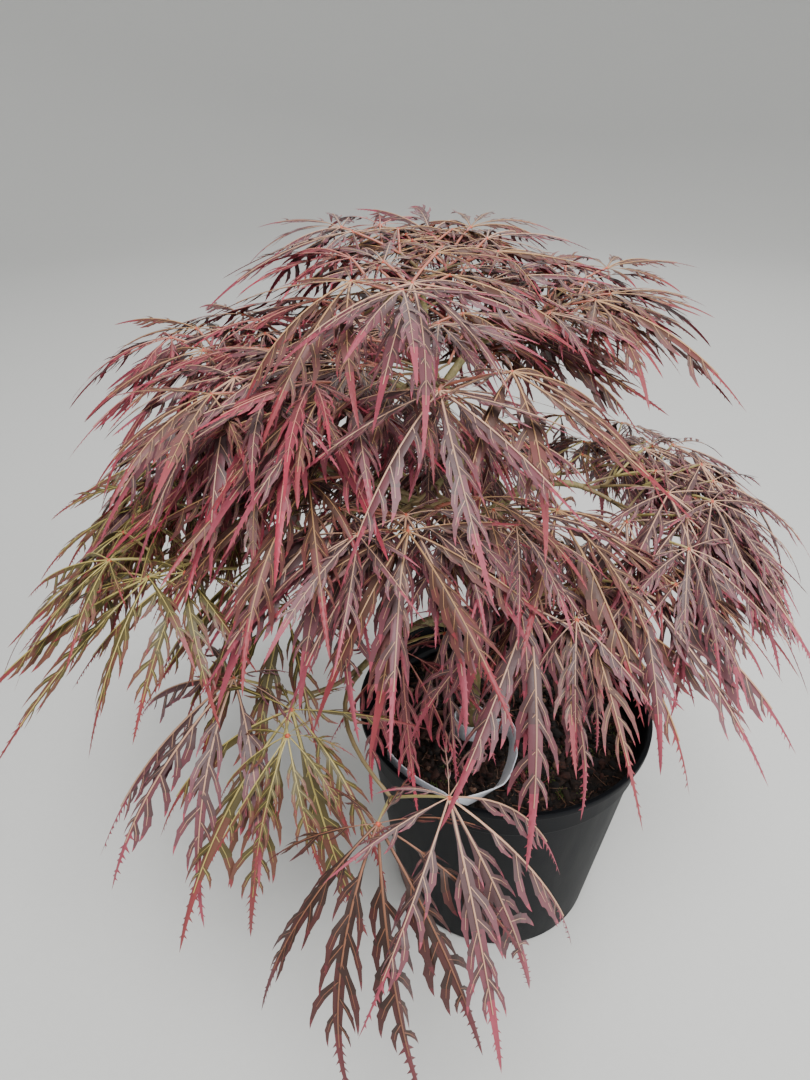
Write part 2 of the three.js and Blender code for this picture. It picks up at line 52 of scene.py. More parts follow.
# The pot, with the sizes of its solid.
POT_HEIGHT = 164
POT_RIM_RADIUS = 95
POT_LIP_DEPTH = 4
POT_COLLAR_HEIGHT = 20
POT_COLLAR_RADIUS = 91.5
POT_STEP = 2
POT_BASE_RADIUS = 70
POT_WALL = 1.6
POT_FLOOR = 3
POT_SIDES = 128
POT_BEVEL = 2
POT_LIP_INSIDE = 92  # the radius of the lip's inner edge
POT_LIP_DIP = 1  # how far the lip's inside slopes down to the wall
POT_STEP_LIFT = 0.5  # how much higher the step under the collar stands inside
DRAIN_HOLES = 8
DRAIN_HOLE_RADIUS = 4.5
DRAIN_CIRCLE_RADIUS = 54
DRAIN_HOLE_SIDES = 24
DRILL_LENGTH = 12
EDGE_ROUNDING = 0.7
EDGE_STEPS = 3
ROUNDED_EDGE = 20  # edges of the pot that turn more degrees than this are rounded
SHARP_EDGE = 40  # edges that turn more degrees than this look sharp
SOIL_SHARP_EDGE = 80
POT_SHOULDER = POT_HEIGHT - POT_LIP_DEPTH - POT_COLLAR_HEIGHT
POT_WALL_TOP_RADIUS = 88.5

# The potting mix and what lies on it.
SOIL_TOP = 144
SOIL_EDGE = 138
SOIL_FLAT_RADIUS = 40
SOIL_SHOULDER_WIDTH = 14
SOIL_SAG = 2  # how far the mix falls from the middle to its shoulder
SOIL_RELIEF = 2.2
SOIL_GRAINS = ((22, 3, 0.5), (4.8, 9, 0.6))  # mounds, then crumbs: spacing, height in the noise, share
SOIL_RINGS = 30
SOIL_SIDES = 120
LITTER_SEED = 11
LITTER_MARGIN = 5  # between the litter and the wall
LITTER_CLEARANCE = 1  # between the litter and the trunk's foot
CHIPS = 2600
CHIP_SKEW = 3  # the higher this is, the more of the chips are small
CHIP_LENGTHS = (1.6, 8.1)
CHIP_SHARES = (0.5, 0.33, 0.13, 0.04)  # of dark, brown, red and pale chips
CHIP_TILT = 30
CHIP_WIDTHS = (0.35, 0.75)  # in shares of a chip's length
CHIP_THICKNESS = (0.7, 0.22)  # of the smallest chips, and what each millimetre of length adds
CHIP_CORNERS = (0.78, 1.22)  # how far out each corner may stand
CHIP_LIFT = 0.25  # how far a chip's middle stands above the mix, in shares of its thickness
FIBRES = 260
FIBRE_LENGTHS = (4, 13)
FIBRE_RADII = (0.16, 0.36)
FIBRE_BOW = 2.5
FIBRE_RISE = 30  # degrees that the bow points upwards
FIBRE_LIFT = 0.6
FIBRE_POINTS, FIBRE_SIDES = 6, 4
MOSS_TUFTS = 46
MOSS_BLADES = 26
MOSS_SPREAD = 2.1
MOSS_LENGTHS = (1.2, 2.8)
MOSS_RISES = (35, 80)
MOSS_RADII = (0.32, 0.26, 0.05)  # of a blade: at its foot, past its middle and at its tip
MOSS_SIDES = 3
MOSS_BEND = 0.6
MOSS_FROM = 38  # moss keeps this far from the pot's middle
FALLEN_LEAF = {"heading": 100, "slope": 2, "bend": 5, "length": 22, "seed": 4}
FALLEN_LEAF_PLACE = (9, -62, SOIL_TOP + 0.5)
FALLEN_LEAF_LOBES = 5
FALLEN_LEAF_SEED = 91
LITTER = {  # each kind's dark and light colours, as sRGB
    "dark_bark_chip": ("0a0706", "1a110d"),
    "brown_bark_chip": ("1b110d", "33221a"),
    "red_bark_chip": ("2b1813", "4a2b22"),
    "pale_wood_chip": ("5a3f33", "8a6c5a"),
    "coir_fibre": ("5d4030", "8c6750"),
    "cushion_moss": ("3b4a1c", "6d8038"),
}
LITTER_SLOTS = {kind: slot for slot, kind in enumerate(LITTER)}

# The trunk's centre line is a cubic curve that leans left at the top.
GAP = 0.3
TRUNK_FOOT = np.array((-22, -9, SOIL_TOP + GAP))
TRUNK_RISE = np.array((-17, -2, 250))
TRUNK_LEAN = np.array((-28, 2, 350))
TRUNK_TIP = np.array((-66, 4, 418))
HALVINGS = 30  # to find the place of a height on that curve
TRUNK_RADIUS = 4.2
TRUNK_TIP_RADIUS = 2.2
FLARE_RADIUS = 7.5
FLARE_HEIGHT = 8
GRAFT_HEIGHT = 205
GRAFT_SWELLING = 1.3
GRAFT_SPREAD = 9
FLARE_RIBS = 5
FLARE_RIB_DEPTH = 0.12  # in shares of the radius
TRUNK_SIDES, TRUNK_STEPS = 24, 150
TAPE_BANDS = ((199, 4.5), (207, 5.5))  # height of each band's foot, and its width
TAPE_THICKNESS = 0.35
TAPE_EDGE = 12  # one part in this of a band's width thins out at each edge
TAPE_CREASES = 0.12
TAPE_CREASE_TURNS = 2.5  # how close the creases stand round the stem
TAPE_CLEARANCE = 0.05
TAPE_SIDES, TAPE_STEPS = 32, 8

# The label: a wide head round the foot of the trunk, and a long tail along the inside of the rim.
LABEL_THICKNESS = 0.9
HEAD_WIDTH = 13
TAIL_WIDTH = 9.5
HEAD_END = 0.36  # in shares of the label's length
TAIL_START = 0.46
LOOP_RADIUS = 10.5
LOOP_TURNS = (-5, 300)
LOOP_POINTS = 9
TAIL_BEND = ((-6, -12), (2, -16), (1, -31), (-4, -48), (-12, -64))
RIM_RUN_RADIUS = 87.4
RIM_RUN_TURNS = (247, 210)
RIM_RUN_LIFT = 9
RIM_RUN_POINTS = 5
LABEL_STEPS = 120
LABEL_SAMPLES = 600  # along the curve, to divide it evenly by length
LABEL_EDGE, LABEL_EDGE_STEPS = 0.25, 2
LABEL_LEAN = 38  # degrees that the tail leans over between the loop and the rim
LEAN_FROM = 0.34
LEAN_TO = 0.74
LEAN_EASE = 0.14

# Headings are degrees from +X towards +Y. Reaches are measured from the middle of the crown.
CROWN_X = -50
CROWN_Y = 5
CROWN_TOP = 430
CROWN_SKIRT = 250
Bough = namedtuple("Bough", "name start heading reach height arch")
BOUGHS = (
    Bough("top_rear", 395, 100, 35, 420, 8),
    Bough("top_right", 375, 44, 45, 394, 14),
    Bough("top_left", 365, 176, 50, 384, 12),
    Bough("top_front", 385, 250, 25, 394, 4),
    Bough("rear_upper", 340, 90, 70, 362, 14),
    Bough("front", 315, 270, 48, 345, 16),
    Bough("right", 295, 2, 85, 318, 24),
    Bough("left", 305, 214, 70, 318, 24),
    Bough("rear_left", 285, 156, 80, 316, 24),
    Bough("rear_right", 270, 40, 85, 296, 24),
    Bough("front_right", 260, 312, 62, 286, 22),
    Bough("rear", 248, 104, 75, 266, 26),
    Bough("front_low", 235, 246, 95, 260, 26),
    Bough("centre_low", 222, 250, 45, 252, 12),
)
BOUGH_RADII = (2.4, 1.7)
BOUGH_COLLAR = 1.1  # how much thicker a bough is where it leaves the trunk
BOUGH_COLLAR_FADE = 14  # how fast that goes along the bough
BOUGH_JOINT = 0.35  # how far its joints stand out
BOUGH_JOINTS = (9, 10, 11)  # the joints' spacing, in turn from bough to bough
JOINT_SHARPNESS = 12
BOUGH_SIDES, BOUGH_STEPS = 14, 44
TRUNK_BARK, BOUGH_BARK = 0.32, 0.2  # the depth of the bark's relief
RIDGES_ROUND, RIDGES_ALONG = 3.1, 0.02  # how close the bark's ridges stand
BUMPS_ROUND, BUMPS_ALONG = 3.22, 0.368
RIDGES, BUMPS = 0.6, 0.7  # their shares of the relief
LIMB_STEP = 0.01  # how far to both sides of a place the limb's direction is measured
LEVEL = Vector((0.0, 1.0, 0.02))  # sets where the first side of a limb's rings stands

# Each mass of foliage grows from the tip of a bough, or of the trunk, to its own end.
Mass = namedtuple("Mass", "name bough heading reach height turn pairs size", defaults=(0, 1, 1))
MASSES = (
    Mass("centre_low", "centre_low", 258, 66, 260, turn=40, size=0.7),
    Mass("front_hanging", "front_low", 262, 155, 243, turn=30, size=1.15),
    Mass("left_hanging", "front_low", 236, 122, 256),
    Mass("front_middle", "front", 254, 76, 344, pairs=2),
    Mass("front_upper", "top_front", 246, 58, 391, turn=-60, pairs=2),
    Mass("right_front", "right", 348, 122, 305, pairs=2),
    Mass("front_right", "front_right", 301, 92, 300, pairs=2),
    Mass("left_low", "left", 214, 138, 320, turn=-25, pairs=2),
    Mass("left_inner", "left", 222, 86, 289, turn=-20),
    Mass("front_middle_right", "front", 300, 64, 336, pairs=2),
    Mass("left_shoulder", "top_left", 202, 74, 368, pairs=2),
    Mass("upper_left", "top_left", 168, 98, 386, pairs=2),
    Mass("top_right", "top_right", 46, 98, 401, pairs=2),
    Mass("top_centre", "top_right", 72, 58, 384, pairs=2),
    Mass("crown_top", "top_rear", 82, 58, 426, pairs=2),
    Mass("top_left", "top_rear", 134, 54, 405, pairs=2),
    Mass("leader", None, 215, 15, 426, turn=-125, pairs=2),
    Mass("right_rear", "right", 14, 112, 312, pairs=2),
    Mass("rear_upper_left", "rear_upper", 112, 112, 362, pairs=2),
    Mass("rear_upper_right", "rear_upper", 66, 115, 356, pairs=2),
    Mass("rear_left", "rear_left", 146, 125, 318, pairs=2),
    Mass("left_rear", "rear_left", 180, 128, 306, pairs=2),
    Mass("rear_right", "rear_right", 36, 128, 290, pairs=2),
    Mass("rear_low_left", "rear", 120, 120, 262, pairs=2),
    Mass("rear_low_right", "rear", 82, 120, 270, pairs=2),
)

# Shoots, side twigs and leaf stalks. A pair is a middle size and how far it may differ from that.
SHOOT_RADIUS = 1.15
SHOOT_STRAIGHT = 0.45  # how far a shoot aims on along its bough, in shares of its length
TWIG_RADIUS = 0.9
STALK_RADIUS = 0.62
TWIG_LENGTH = (32, 6)
TWIG_TURN = (55, 12)
TWIG_RISE = (18, 8)
FIRST_TWIG = 0.45
NEXT_TWIG = 0.28
TWIG_ARCH, STALK_ARCH = 1.5, 1.6
SHOOT_SIDES, TWIG_SIDES, STALK_SIDES = 8, 6, 5
SHOOT_POINTS, TWIG_POINTS = 10, 6
SHOOT_TAPER, TWIG_TAPER, STALK_TAPER = 1.25, (1.2, 0.8), 1.35  # how much thicker they start
SLANT = (0.31, 0.17, 0.94)  # a direction that no twig has, from which the sides of tubes are set
STALK_LENGTH = (28, 6)
STALK_GAIN = 0.15  # how much less than its blade a smaller leaf's stalk is shortened
STALK_SPREAD = (38, 10)
STALK_RISE = (22, 8)
PINK_STALK_HEIGHT = 345  # leaf stalks are green below it and pink above
LEAF_LENGTHS = (86, 106)  # at the crown's top and at its skirt, like the slopes and bends
LEAF_LENGTH_SPREAD = 0.08
BLADE_SWING = (18, 10)
SLOPES = (8, 42)
BENDS = (38, 48)
SLOPE_SPREAD = 6
LOBE_PAIRS = ((31, 0.95), (64, 0.78), (100, 0.5), (138, 0.26))
LOBES = [(0, 1)]  # degrees from the middle lobe, and share of its length
LOBES += [(side * angle, share) for angle, share in LOBE_PAIRS for side in (-1, 1)]

# The small generator and its seeds. Those of the solids' own twigs and leaves are the source's.
FACTOR, ADDEND, MODULUS = 1664525, 1013904223, 2**32
TWIG_SEEDS = 100  # from the twigs of one mass or bough to those of the next
LEAF_SEEDS, PAIR_SEEDS, FIRST_LEAF_SEED = 1000, 10, 5
FINE_TWIG_SEED, OTHER_SIDE_SEED = 50, 75
BLADE_SEEDS, FIRST_BLADE_SEED = 7, 3

# Finer twigs, which the solids leave out: one grows on past each pair of leaves, others along the boughs.
FINE_TWIG_LENGTH = (20, 5)
FINE_TWIG_RADIUS = 0.7
FINE_TWIG_SWING = 14
FINE_TWIG_RISE = (6, 10)
FINE_LEAF_SIZE = 0.66
FINE_LEAF_LIFT = 16  # degrees that the young leaves at the top stand up more
OTHER_SIDE_TWIG = 0.66  # where a shoot's finer twig leaves it, in shares of its length
# Along a bough: a finer twig's place, and its turn from the bough's heading and that turn's spread.
BOUGH_TWIGS = ((0.35, (100, 12)), (0.58, (75, 12)), (0.8, (50, 12)), (1, (0, 12)))
TRUNK_TWIGS = 8
TRUNK_TWIG_HEIGHTS = (330, 408)
TRUNK_TWIG_LENGTH = (9, 3)
TRUNK_TWIG_HEADING = 310  # of the last one, at the top
TRUNK_TWIG_SWING = 12
GOLDEN_TURN = 137.5  # the turn from each of the trunk's twigs to the next
SPARSE = ("centre_low", "front_hanging", "front_low", "front")  # boughs and masses without finer twigs
CROWN_SLACK = 12  # how far a leaf may pass the solids' box

# The camera that matches the photograph, in metres, and its focal length in pixels.
PHOTO_WIDTH = 810
PHOTO_HEIGHT = 1080
PHOTO_FOCAL = 811
CAMERA_PLACE = (-0.0652, -0.3975, 0.5356)
CAMERA_DOWN = 32  # degrees below level

# Where the photograph shows through the crown: left, top, right and bottom in its pixels.
OPENINGS = (
    (300, 265, 345, 335),
    (500, 370, 600, 440),
    (560, 460, 600, 520),
    (235, 480, 330, 500),
    (240, 540, 300, 610),
    (610, 540, 650, 620),
    (190, 610, 235, 800),
    (370, 590, 510, 800),
)
OPENING_SHARE = 0.2  # a finer leaf with more than this share in the openings is dropped

# The outline of a lobe, in lengths of the lobe: a bare foot, long hooked pinnules, a toothed tail.
LOBE_STRETCH = 1.12  # the fine tails reach past the blunter lobes of the solids
SPINE_WIDTHS = ((0, 0.004), (0.16, 0.005), (0.26, 0.015), (0.58, 0.015))
SPINE_WIDTHS += ((0.7, 0.0095), (0.95, 0.0035), (1, 0.001))
KEEL = 0.002  # how far the blade's middle sinks
MARGIN_FROM = 0.45  # where the blade along the rib takes the margin's colour
TAIL_END = 0.95
RIB_END = 0.76
RIB_HALF_WIDTH = 0.0045
RIB_TAPER = 0.8
RIB_FOOT = 0.0005  # how far the rib's edges stand above the blade
RIB_RIDGE = 0.004
FOLD = (-1, 0.4)  # how steeply the two sides of a lobe may rise from the rib
DROOP = 1.5  # how fast they droop again further out
PINNULE_FROM = 0.17
PINNULE_TO = 0.7
PINNULE_STAGGER, PINNULE_JITTER = 0.5, 0.3  # in shares of the space between two
TOOTH_JITTER = 0.5
PINNULE_SIZES = (0.75, 1.25)
PINNULE_SWING = 9
PINNULE_TILT = 0.35
PINNULE_FOOT = 0.3  # where its middle line starts, in shares of the half width of the blade
PINNULE_LENGTHS = ((0.17, 0.14), (0.3, 0.22), (0.5, 0.2), (0.7, 0.1))
PINNULE_TURNS = (40, 0)  # degrees from the lobe's line at the pinnule's foot, and at its tip
PINNULE_ROWS = (  # along the pinnule: the half widths of its outer and its inner edge
    (0, 0.9, 1.5),
    (0.15, 0.85, 1),
    (0.33, 1.2, 0.95),
    (0.38, 0.9, 0.95),
    (0.57, 1.1, 0.85),
    (0.62, 0.7, 0.7),
    (0.82, 0.45, 0.4),
    (0.91, 0.25, 0.2),
)
PINNULE_HALF_WIDTH = 0.062  # in lengths of the pinnule
VEIN_ROWS = (0, 2, 4)
VEIN_HALF_WIDTH = 0.0013
VEIN_TAPER = 0.12
WEBS = (0.75, 2.7)  # how much narrower or wider than its table the blade along a rib may be
TOOTH_FOOT = 0.024  # in lengths of the lobe, at the tail's start
TOOTH_LENGTHS = (0.03, 0.055)
TOOTH_SHRINK, TOOTH_END = 1.6, 1.3  # how fast the teeth get smaller, and where they would be nothing
TOOTH_INSET, TOOTH_FLARE = 0.6, 0.4

# How far each lobe may differ from its leaf's own slope, bend, length, sway, twist and turn.
LOBE_SLOPE_SPREAD = 9
LOBE_BEND_SPREAD = 17
LOBE_LENGTH_SPREAD = 0.05
LOBE_SWAY = 0.13
LOBE_TWIST = 40
LOBE_TURN_SPREAD = 7
HUB_RADIUS, HUB_HEIGHT, HUB_DIP = 1.7, 0.9, -20
HUB_SIDES = 6
Detail = namedtuple("Detail", "steps pairs teeth")
LONG_LOBE = Detail(20, 5, 6)
SHORT_LOBE = Detail(10, 3, 2)
SHORT_SHARE = 0.5  # lobes with this share of the middle one's length, or less, are short
TEMPLATES = 12  # from lobes cut nearly to the rib, for the skirt, to webbed ones, for the top
BLADE, MARGIN, TIP, RIB = range(4)
PINNULE_SLOTS = (BLADE, BLADE, BLADE, MARGIN, MARGIN, MARGIN, TIP, TIP)

# Blade, margin, tip and rib of each leaf colour, as sRGB.
TINTS = {
    "bronze": ("543931", "673b38", "86353c", "b0875f"),
    "mauve": ("533c3d", "6a3e45", "92414f", "bd9479"),
    "olive": ("524829", "664033", "823739", "aa9a59"),
    # dark: darker tints that paint the shade on leaves under and inside the crown
    "dark": ("35231e", "482624", "602a2f", "845842"),
    "crimson": ("6a3237", "833441", "a03648", "bd7a6a"),
}
TINT_NAMES = tuple(TINTS)
BRONZE_SHARE = 0.45  # outside the patches below, where the other leaves are mauve
# The boxes, from corner to corner, where a share of the leaves takes another tint. The dark boxes are
# painted shade.
Patch = namedtuple("Patch", "tint share low high")
PATCHES = (
    # painted shade: darker tints for the leaves that hang below the crown
    Patch("dark", 0.55, (-260, -240, 0), (170, -115, 262)),  # the leaves that hang over the front
    # painted shade: darker tints for the leaves deep inside the crown
    Patch("dark", 0.5, (-112, -57, 0), (12, 67, 340)),  # inside the crown
    Patch("olive", 0.8, (-260, -240, 262), (-95, 210, 345)),  # the left side
    Patch("crimson", 0.3, (-260, -240, 370), (-70, 210, 460)),  # the top at the left
    Patch("crimson", 0.2, (-260, -240, 0), (170, 210, 285)),  # the skirt
    Patch("mauve", 0.7, (60, -240, 0), (170, 210, 460)),  # the right side
)
TONES = 4
HUB_HEX = "c0563f"
LEAF_SKINS = (  # each part's roughness, and its grain's size and relief
    ("blade", 0.5, 1.5, 0.12),
    ("margin", 0.5, 1.5, 0.12),
    ("tip", 0.5, 1.5, 0.1),
    ("rib", 0.45, 1.2, 0.05),
)
PIECE_TRIANGLES = 165_000  # a piece of leaves is closed at this size


def linear(hex_code):
    """An sRGB hex colour as linear RGBA."""
    channels = [int(hex_code[i : i + 2], 16) / 255 for i in (0, 2, 4)]
    return [c / 12.92 if c <= 0.04045 else ((c + 0.055) / 1.055) ** 2.4 for c in channels] + [1]


def lerp(a, b, t):
    return a + (b - a) * t


def direction(heading, rise):
    """The unit vector of a heading that rises by some degrees."""
    heading, rise = math.radians(heading), math.radians(rise)
    flat = math.cos(rise)
    return np.array((flat * math.cos(heading), flat * math.sin(heading), math.sin(rise)))


def bezier(points, t):
    """A point of the curve that these control points give."""
    while len(points) > 1:
        points = [lerp(a, b, t) for a, b in zip(points, points[1:])]
    return points[0]


def curve(points, count):
    """Evenly timed points of a curve, from its first control point to its last."""
    return np.array([bezier(points, t) for t in np.linspace(0, 1, count)])


def crown_point(row):
    return np.array((CROWN_X, CROWN_Y, row.height)) + direction(row.heading, 0) * row.reach


TRUNK_LINE = (TRUNK_FOOT, TRUNK_RISE, TRUNK_LEAN, TRUNK_TIP)


def trunk_at(height):
    """The point of the trunk's centre line at a height, found by halving."""
    low, high = 0.0, 1.0
    for _ in range(HALVINGS):
        middle = (low + high) / 2
        if bezier(TRUNK_LINE, middle)[2] < height:
            low = middle
        else:
            high = middle
    return bezier(TRUNK_LINE, low)


def arched(start, end, arch):
    """The control points of a limb that rises above the straight line between its ends."""
    return start, lerp(start, end, 0.5) + UP * arch, end


def bough_line(row):
    return arched(trunk_at(row.start), crown_point(row), row.arch)


def shoot_line(mass):
    """The control points of a mass's shoot, which starts at the tip that carries it."""
    row = next((bough for bough in BOUGHS if bough.name == mass.bough), None)
    if row is None:
        tip, tangent = TRUNK_TIP, UP
    else:
        _, middle, tip = bough_line(row)
        tangent = (tip - middle) / np.linalg.norm(tip - middle)
    end = crown_point(mass)
    start = tip + tangent * GAP
    neighbour = next((m for m in MASSES if m is not mass and m.bough == mass.bough), None)
    if neighbour is not None:
        across = np.cross(UP, tangent)
        across /= np.linalg.norm(across)
        side = math.copysign(1, across @ (end - crown_point(neighbour)))
        start = start + across * side * (SHOOT_RADIUS + GAP / 2)
    middle = start + tangent * np.linalg.norm(end - start) * SHOOT_STRAIGHT
    return start, middle, end


class Grown:
    """Triangles that are collected for one joined mesh, with a material slot for each."""

    def __init__(self):
        self.points, self.triangles, self.slots, self.count = [], [], [], 0

    def add(self, points, triangles, slots):
        self.points.append(points)
        self.triangles.append(np.asarray(triangles) + self.count)
        self.slots.append(np.broadcast_to(slots, len(triangles)))
        self.count += len(points)

    def size(self):
        return sum(len(triangles) for triangles in self.triangles)

    def mesh(self, name, materials):
        mesh = bpy.data.meshes.new(name)
        points = (np.concatenate(self.points) * MM).tolist()
        mesh.from_pydata(points, [], np.concatenate(self.triangles).tolist(), shade_flat=False)
        mesh.polygons.foreach_set("material_index", np.concatenate(self.slots).astype(np.int32))
        mesh.validate()
        return piece(name, mesh, materials)


def placed(name, data):
    """A new object in the scene."""
    made = bpy.data.objects.new(name, data)
    bpy.context.scene.collection.objects.link(made)
    return made


def piece(name, mesh, materials):
    """A shown object from a mesh, riding on the part."""
    for material in materials:
        mesh.materials.append(material)
    shown = placed(name, mesh)
    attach(shown, "root")
    return shown


def tube(grown, line, radii, sides, slot):
    """A round limb along some points, closed at both ends."""
    line = np.asarray(line)
    ahead = np.gradient(line, axis=0)
    ahead /= np.linalg.norm(ahead, axis=1, keepdims=True)
    across = np.cross(ahead, SLANT)
    across /= np.linalg.norm(across, axis=1, keepdims=True)
    upward = np.cross(across, ahead)
    turns = np.arange(sides) * 2 * math.pi / sides
    ring = across[:, None] * np.cos(turns)[None, :, None] + upward[:, None] * np.sin(turns)[None, :, None]
    body = line[:, None] + ring * np.asarray(radii)[:, None, None]
    points = np.concatenate((body.reshape(-1, 3), line[:1], line[-1:]))
    foot, tip = len(points) - 2, len(points) - 1
    triangles = []
    last = (len(line) - 1) * sides
    for side in range(sides):
        other = (side + 1) % sides
        triangles += [(foot, other, side), (tip, last + side, last + other)]
        for row in range(0, last, sides):
            a, b, c, d = row + side, row + other, row + sides + other, row + sides + side
            triangles += [(a, b, c), (a, c, d)]
    grown.add(points, triangles, slot)


def seeded(seed):
    """The source's small generator: numbers between minus and plus a spread."""
    state = seed

    def step():
        nonlocal state
        state = (FACTOR * state + ADDEND) % MODULUS
        return state / MODULUS

    step()
    step()
    return lambda spread: (2 * step() - 1) * spread


def vary(random, size):
    """A size drawn from a pair: its middle, and how far it may differ from that."""
    middle, spread = size
    return middle + random(spread)


Twig = namedtuple("Twig", "root end heading size fine")


def turned_off(random, heading, turn, number):
    """A heading that turns off to the left for odd numbers, and to the right for even ones."""
    return heading + (1 if number % 2 else -1) * vary(random, turn)


def twig_on(random, root, heading, length, size, fine=True, rise=TWIG_RISE):
    """A twig whose rise and length are drawn from their pairs."""
    way = direction(heading, vary(random, rise))
    return Twig(root, root + way * vary(random, length), heading, size, fine)


def twigs_of(mass, index):
    """First the shoot's own end, then side twigs that leave left and right in turn."""
    line = shoot_line(mass)
    twigs = [Twig(None, line[2], mass.heading + mass.turn, mass.size, False)]
    for pair in range(1, mass.pairs):
        random = seeded(index * TWIG_SEEDS + pair)
        root = bezier(line, FIRST_TWIG + NEXT_TWIG * (pair - 1))
        heading = turned_off(random, mass.heading, TWIG_TURN, index + pair)
        twigs.append(twig_on(random, root, heading, TWIG_LENGTH, mass.size, fine=False))
    return twigs


def fine_twigs_of(mass, index, twigs):
    """A finer twig that grows on past each pair, and one from the shoot's other side."""
    size = mass.size * FINE_LEAF_SIZE
    fine = []
    for pair, twig in enumerate(twigs):
        random = seeded(index * TWIG_SEEDS + pair + FINE_TWIG_SEED)
        heading = twig.heading + random(FINE_TWIG_SWING)
        fine.append(twig_on(random, twig.end, heading, FINE_TWIG_LENGTH, size, rise=FINE_TWIG_RISE))
    random = seeded(index * TWIG_SEEDS + OTHER_SIDE_SEED)
    heading = turned_off(random, mass.heading, TWIG_TURN, index)
    root = bezier(shoot_line(mass), OTHER_SIDE_TWIG)
    fine.append(twig_on(random, root, heading, FINE_TWIG_LENGTH, size))
    return fine


def bough_twigs_of(row, index):
    """Finer twigs along a bough, to its left and right in turn, which fill the crown's inside."""
    line = bough_line(row)
    fine = []
    for number, (place, turn) in enumerate(BOUGH_TWIGS):
        random = seeded(index * TWIG_SEEDS + number)
        heading = turned_off(random, row.heading, turn, index + number)
        fine.append(twig_on(random, bezier(line, place), heading, FINE_TWIG_LENGTH, FINE_LEAF_SIZE))
    return fine


def trunk_twigs():
    """Short twigs round the upper trunk, which close the crown above it."""
    random = seeded(TRUNK_TWIGS)
    fine = []
    for number in range(TRUNK_TWIGS):
        root = trunk_at(lerp(*TRUNK_TWIG_HEIGHTS, number / (TRUNK_TWIGS - 1)))
        turns = GOLDEN_TURN * (TRUNK_TWIGS - 1 - number)
        heading = TRUNK_TWIG_HEADING - turns + random(TRUNK_TWIG_SWING)
        fine.append(twig_on(random, root, heading, TRUNK_TWIG_LENGTH, FINE_LEAF_SIZE))
    return fine


Leaf = namedtuple("Leaf", "root hub heading slope bend length seed")


def lowness(hub):
    """0 at the crown's top and 1 at its skirt."""
    return min(1, max(0, (CROWN_TOP - hub[2]) / (CROWN_TOP - CROWN_SKIRT)))


def leaf_on(twig, side, seed):
    """A leaf's stalk and hub, and the heading, slope and bend of its blade."""
    random = seeded(seed)
    way = direction(twig.heading + side * vary(random, STALK_SPREAD), vary(random, STALK_RISE))
    hub = twig.end + way * vary(random, STALK_LENGTH) * min(1, twig.size + STALK_GAIN)
    low = lowness(hub)
    heading = twig.heading + side * vary(random, BLADE_SWING)
    lift = FINE_LEAF_LIFT if twig.fine else 0
    slope = lerp(SLOPES[0] - lift, SLOPES[1], low) + random(SLOPE_SPREAD)
    bend = lerp(*BENDS, low) + random(SLOPE_SPREAD)
    length = lerp(*LEAF_LENGTHS, low) * twig.size
    length *= 1 + random(LEAF_LENGTH_SPREAD)
    return Leaf(twig.end, hub, heading, slope, bend, length, seed)


def strip(outline, rows, slots):
    """Adds a strip of quads between rows of points, as triangles. A last row may be one point."""
    points, triangles, kinds = outline
    second = len(points)
    points.extend(rows[0])
    for there, slot in zip(rows[1:], slots):
        first, second = second, len(points)
        points.extend(there)
        for a in range(first, second - 1):
            if len(there) == 1:
                added = [(a, second, a + 1)]
            else:
                b = a + second - first
                added = [(a, b, b + 1), (a, b + 1, a + 1)]
            triangles.extend(added)
            kinds.extend([slot] * len(added))


def along_table(table, along):
    places, values = zip(*table)
    return np.interp(along, places, values)


def lobe_template(seed, detail):
    """One lobe laid flat: (along, across, up) in lengths of the lobe, triangles and slots."""
    rng = np.random.default_rng(seed)
    points, triangles, kinds = outline = ([], [], [])
    stations = np.linspace(0, 1, detail.steps + 1)
    widths = along_table(SPINE_WIDTHS, stations) * lerp(*WEBS, seed / (TEMPLATES - 1))
    rows = [[(s, -w, 0), (s, 0, -KEEL), (s, w, 0)] for s, w in zip(stations[:-1], widths)]
    rows.append([(1, 0, 0)])
    slots = [BLADE if s < MARGIN_FROM else MARGIN if s < PINNULE_TO else TIP for s in stations]
    strip(outline, rows, slots)
    ribs = [s for s in stations if s < RIB_END]
    widths = [RIB_HALF_WIDTH * (1 - RIB_TAPER * s) for s in ribs]
    rows = [[(s, -w, RIB_FOOT), (s, 0, RIB_RIDGE), (s, w, RIB_FOOT)] for s, w in zip(ribs, widths)]
    strip(outline, rows, [RIB] * len(ribs))
    for side in (-1, 1):
        stagger = PINNULE_STAGGER * rng.random()
        for k in range(detail.pairs):
            place = (k + stagger + PINNULE_JITTER * rng.random()) / detail.pairs
            pinnule(outline, side, lerp(PINNULE_FROM, PINNULE_TO, place), rng)
        for k in range(detail.teeth):
            place = (k + TOOTH_JITTER * rng.random()) / detail.teeth
            tooth(outline, side, lerp(PINNULE_TO, TAIL_END, place), rng)
    template = np.array(points)
    spread = np.abs(template[:, 1])
    template[:, 2] += rng.uniform(*FOLD) * spread - DROOP * spread**2
    return template, np.array(triangles), np.array(kinds)


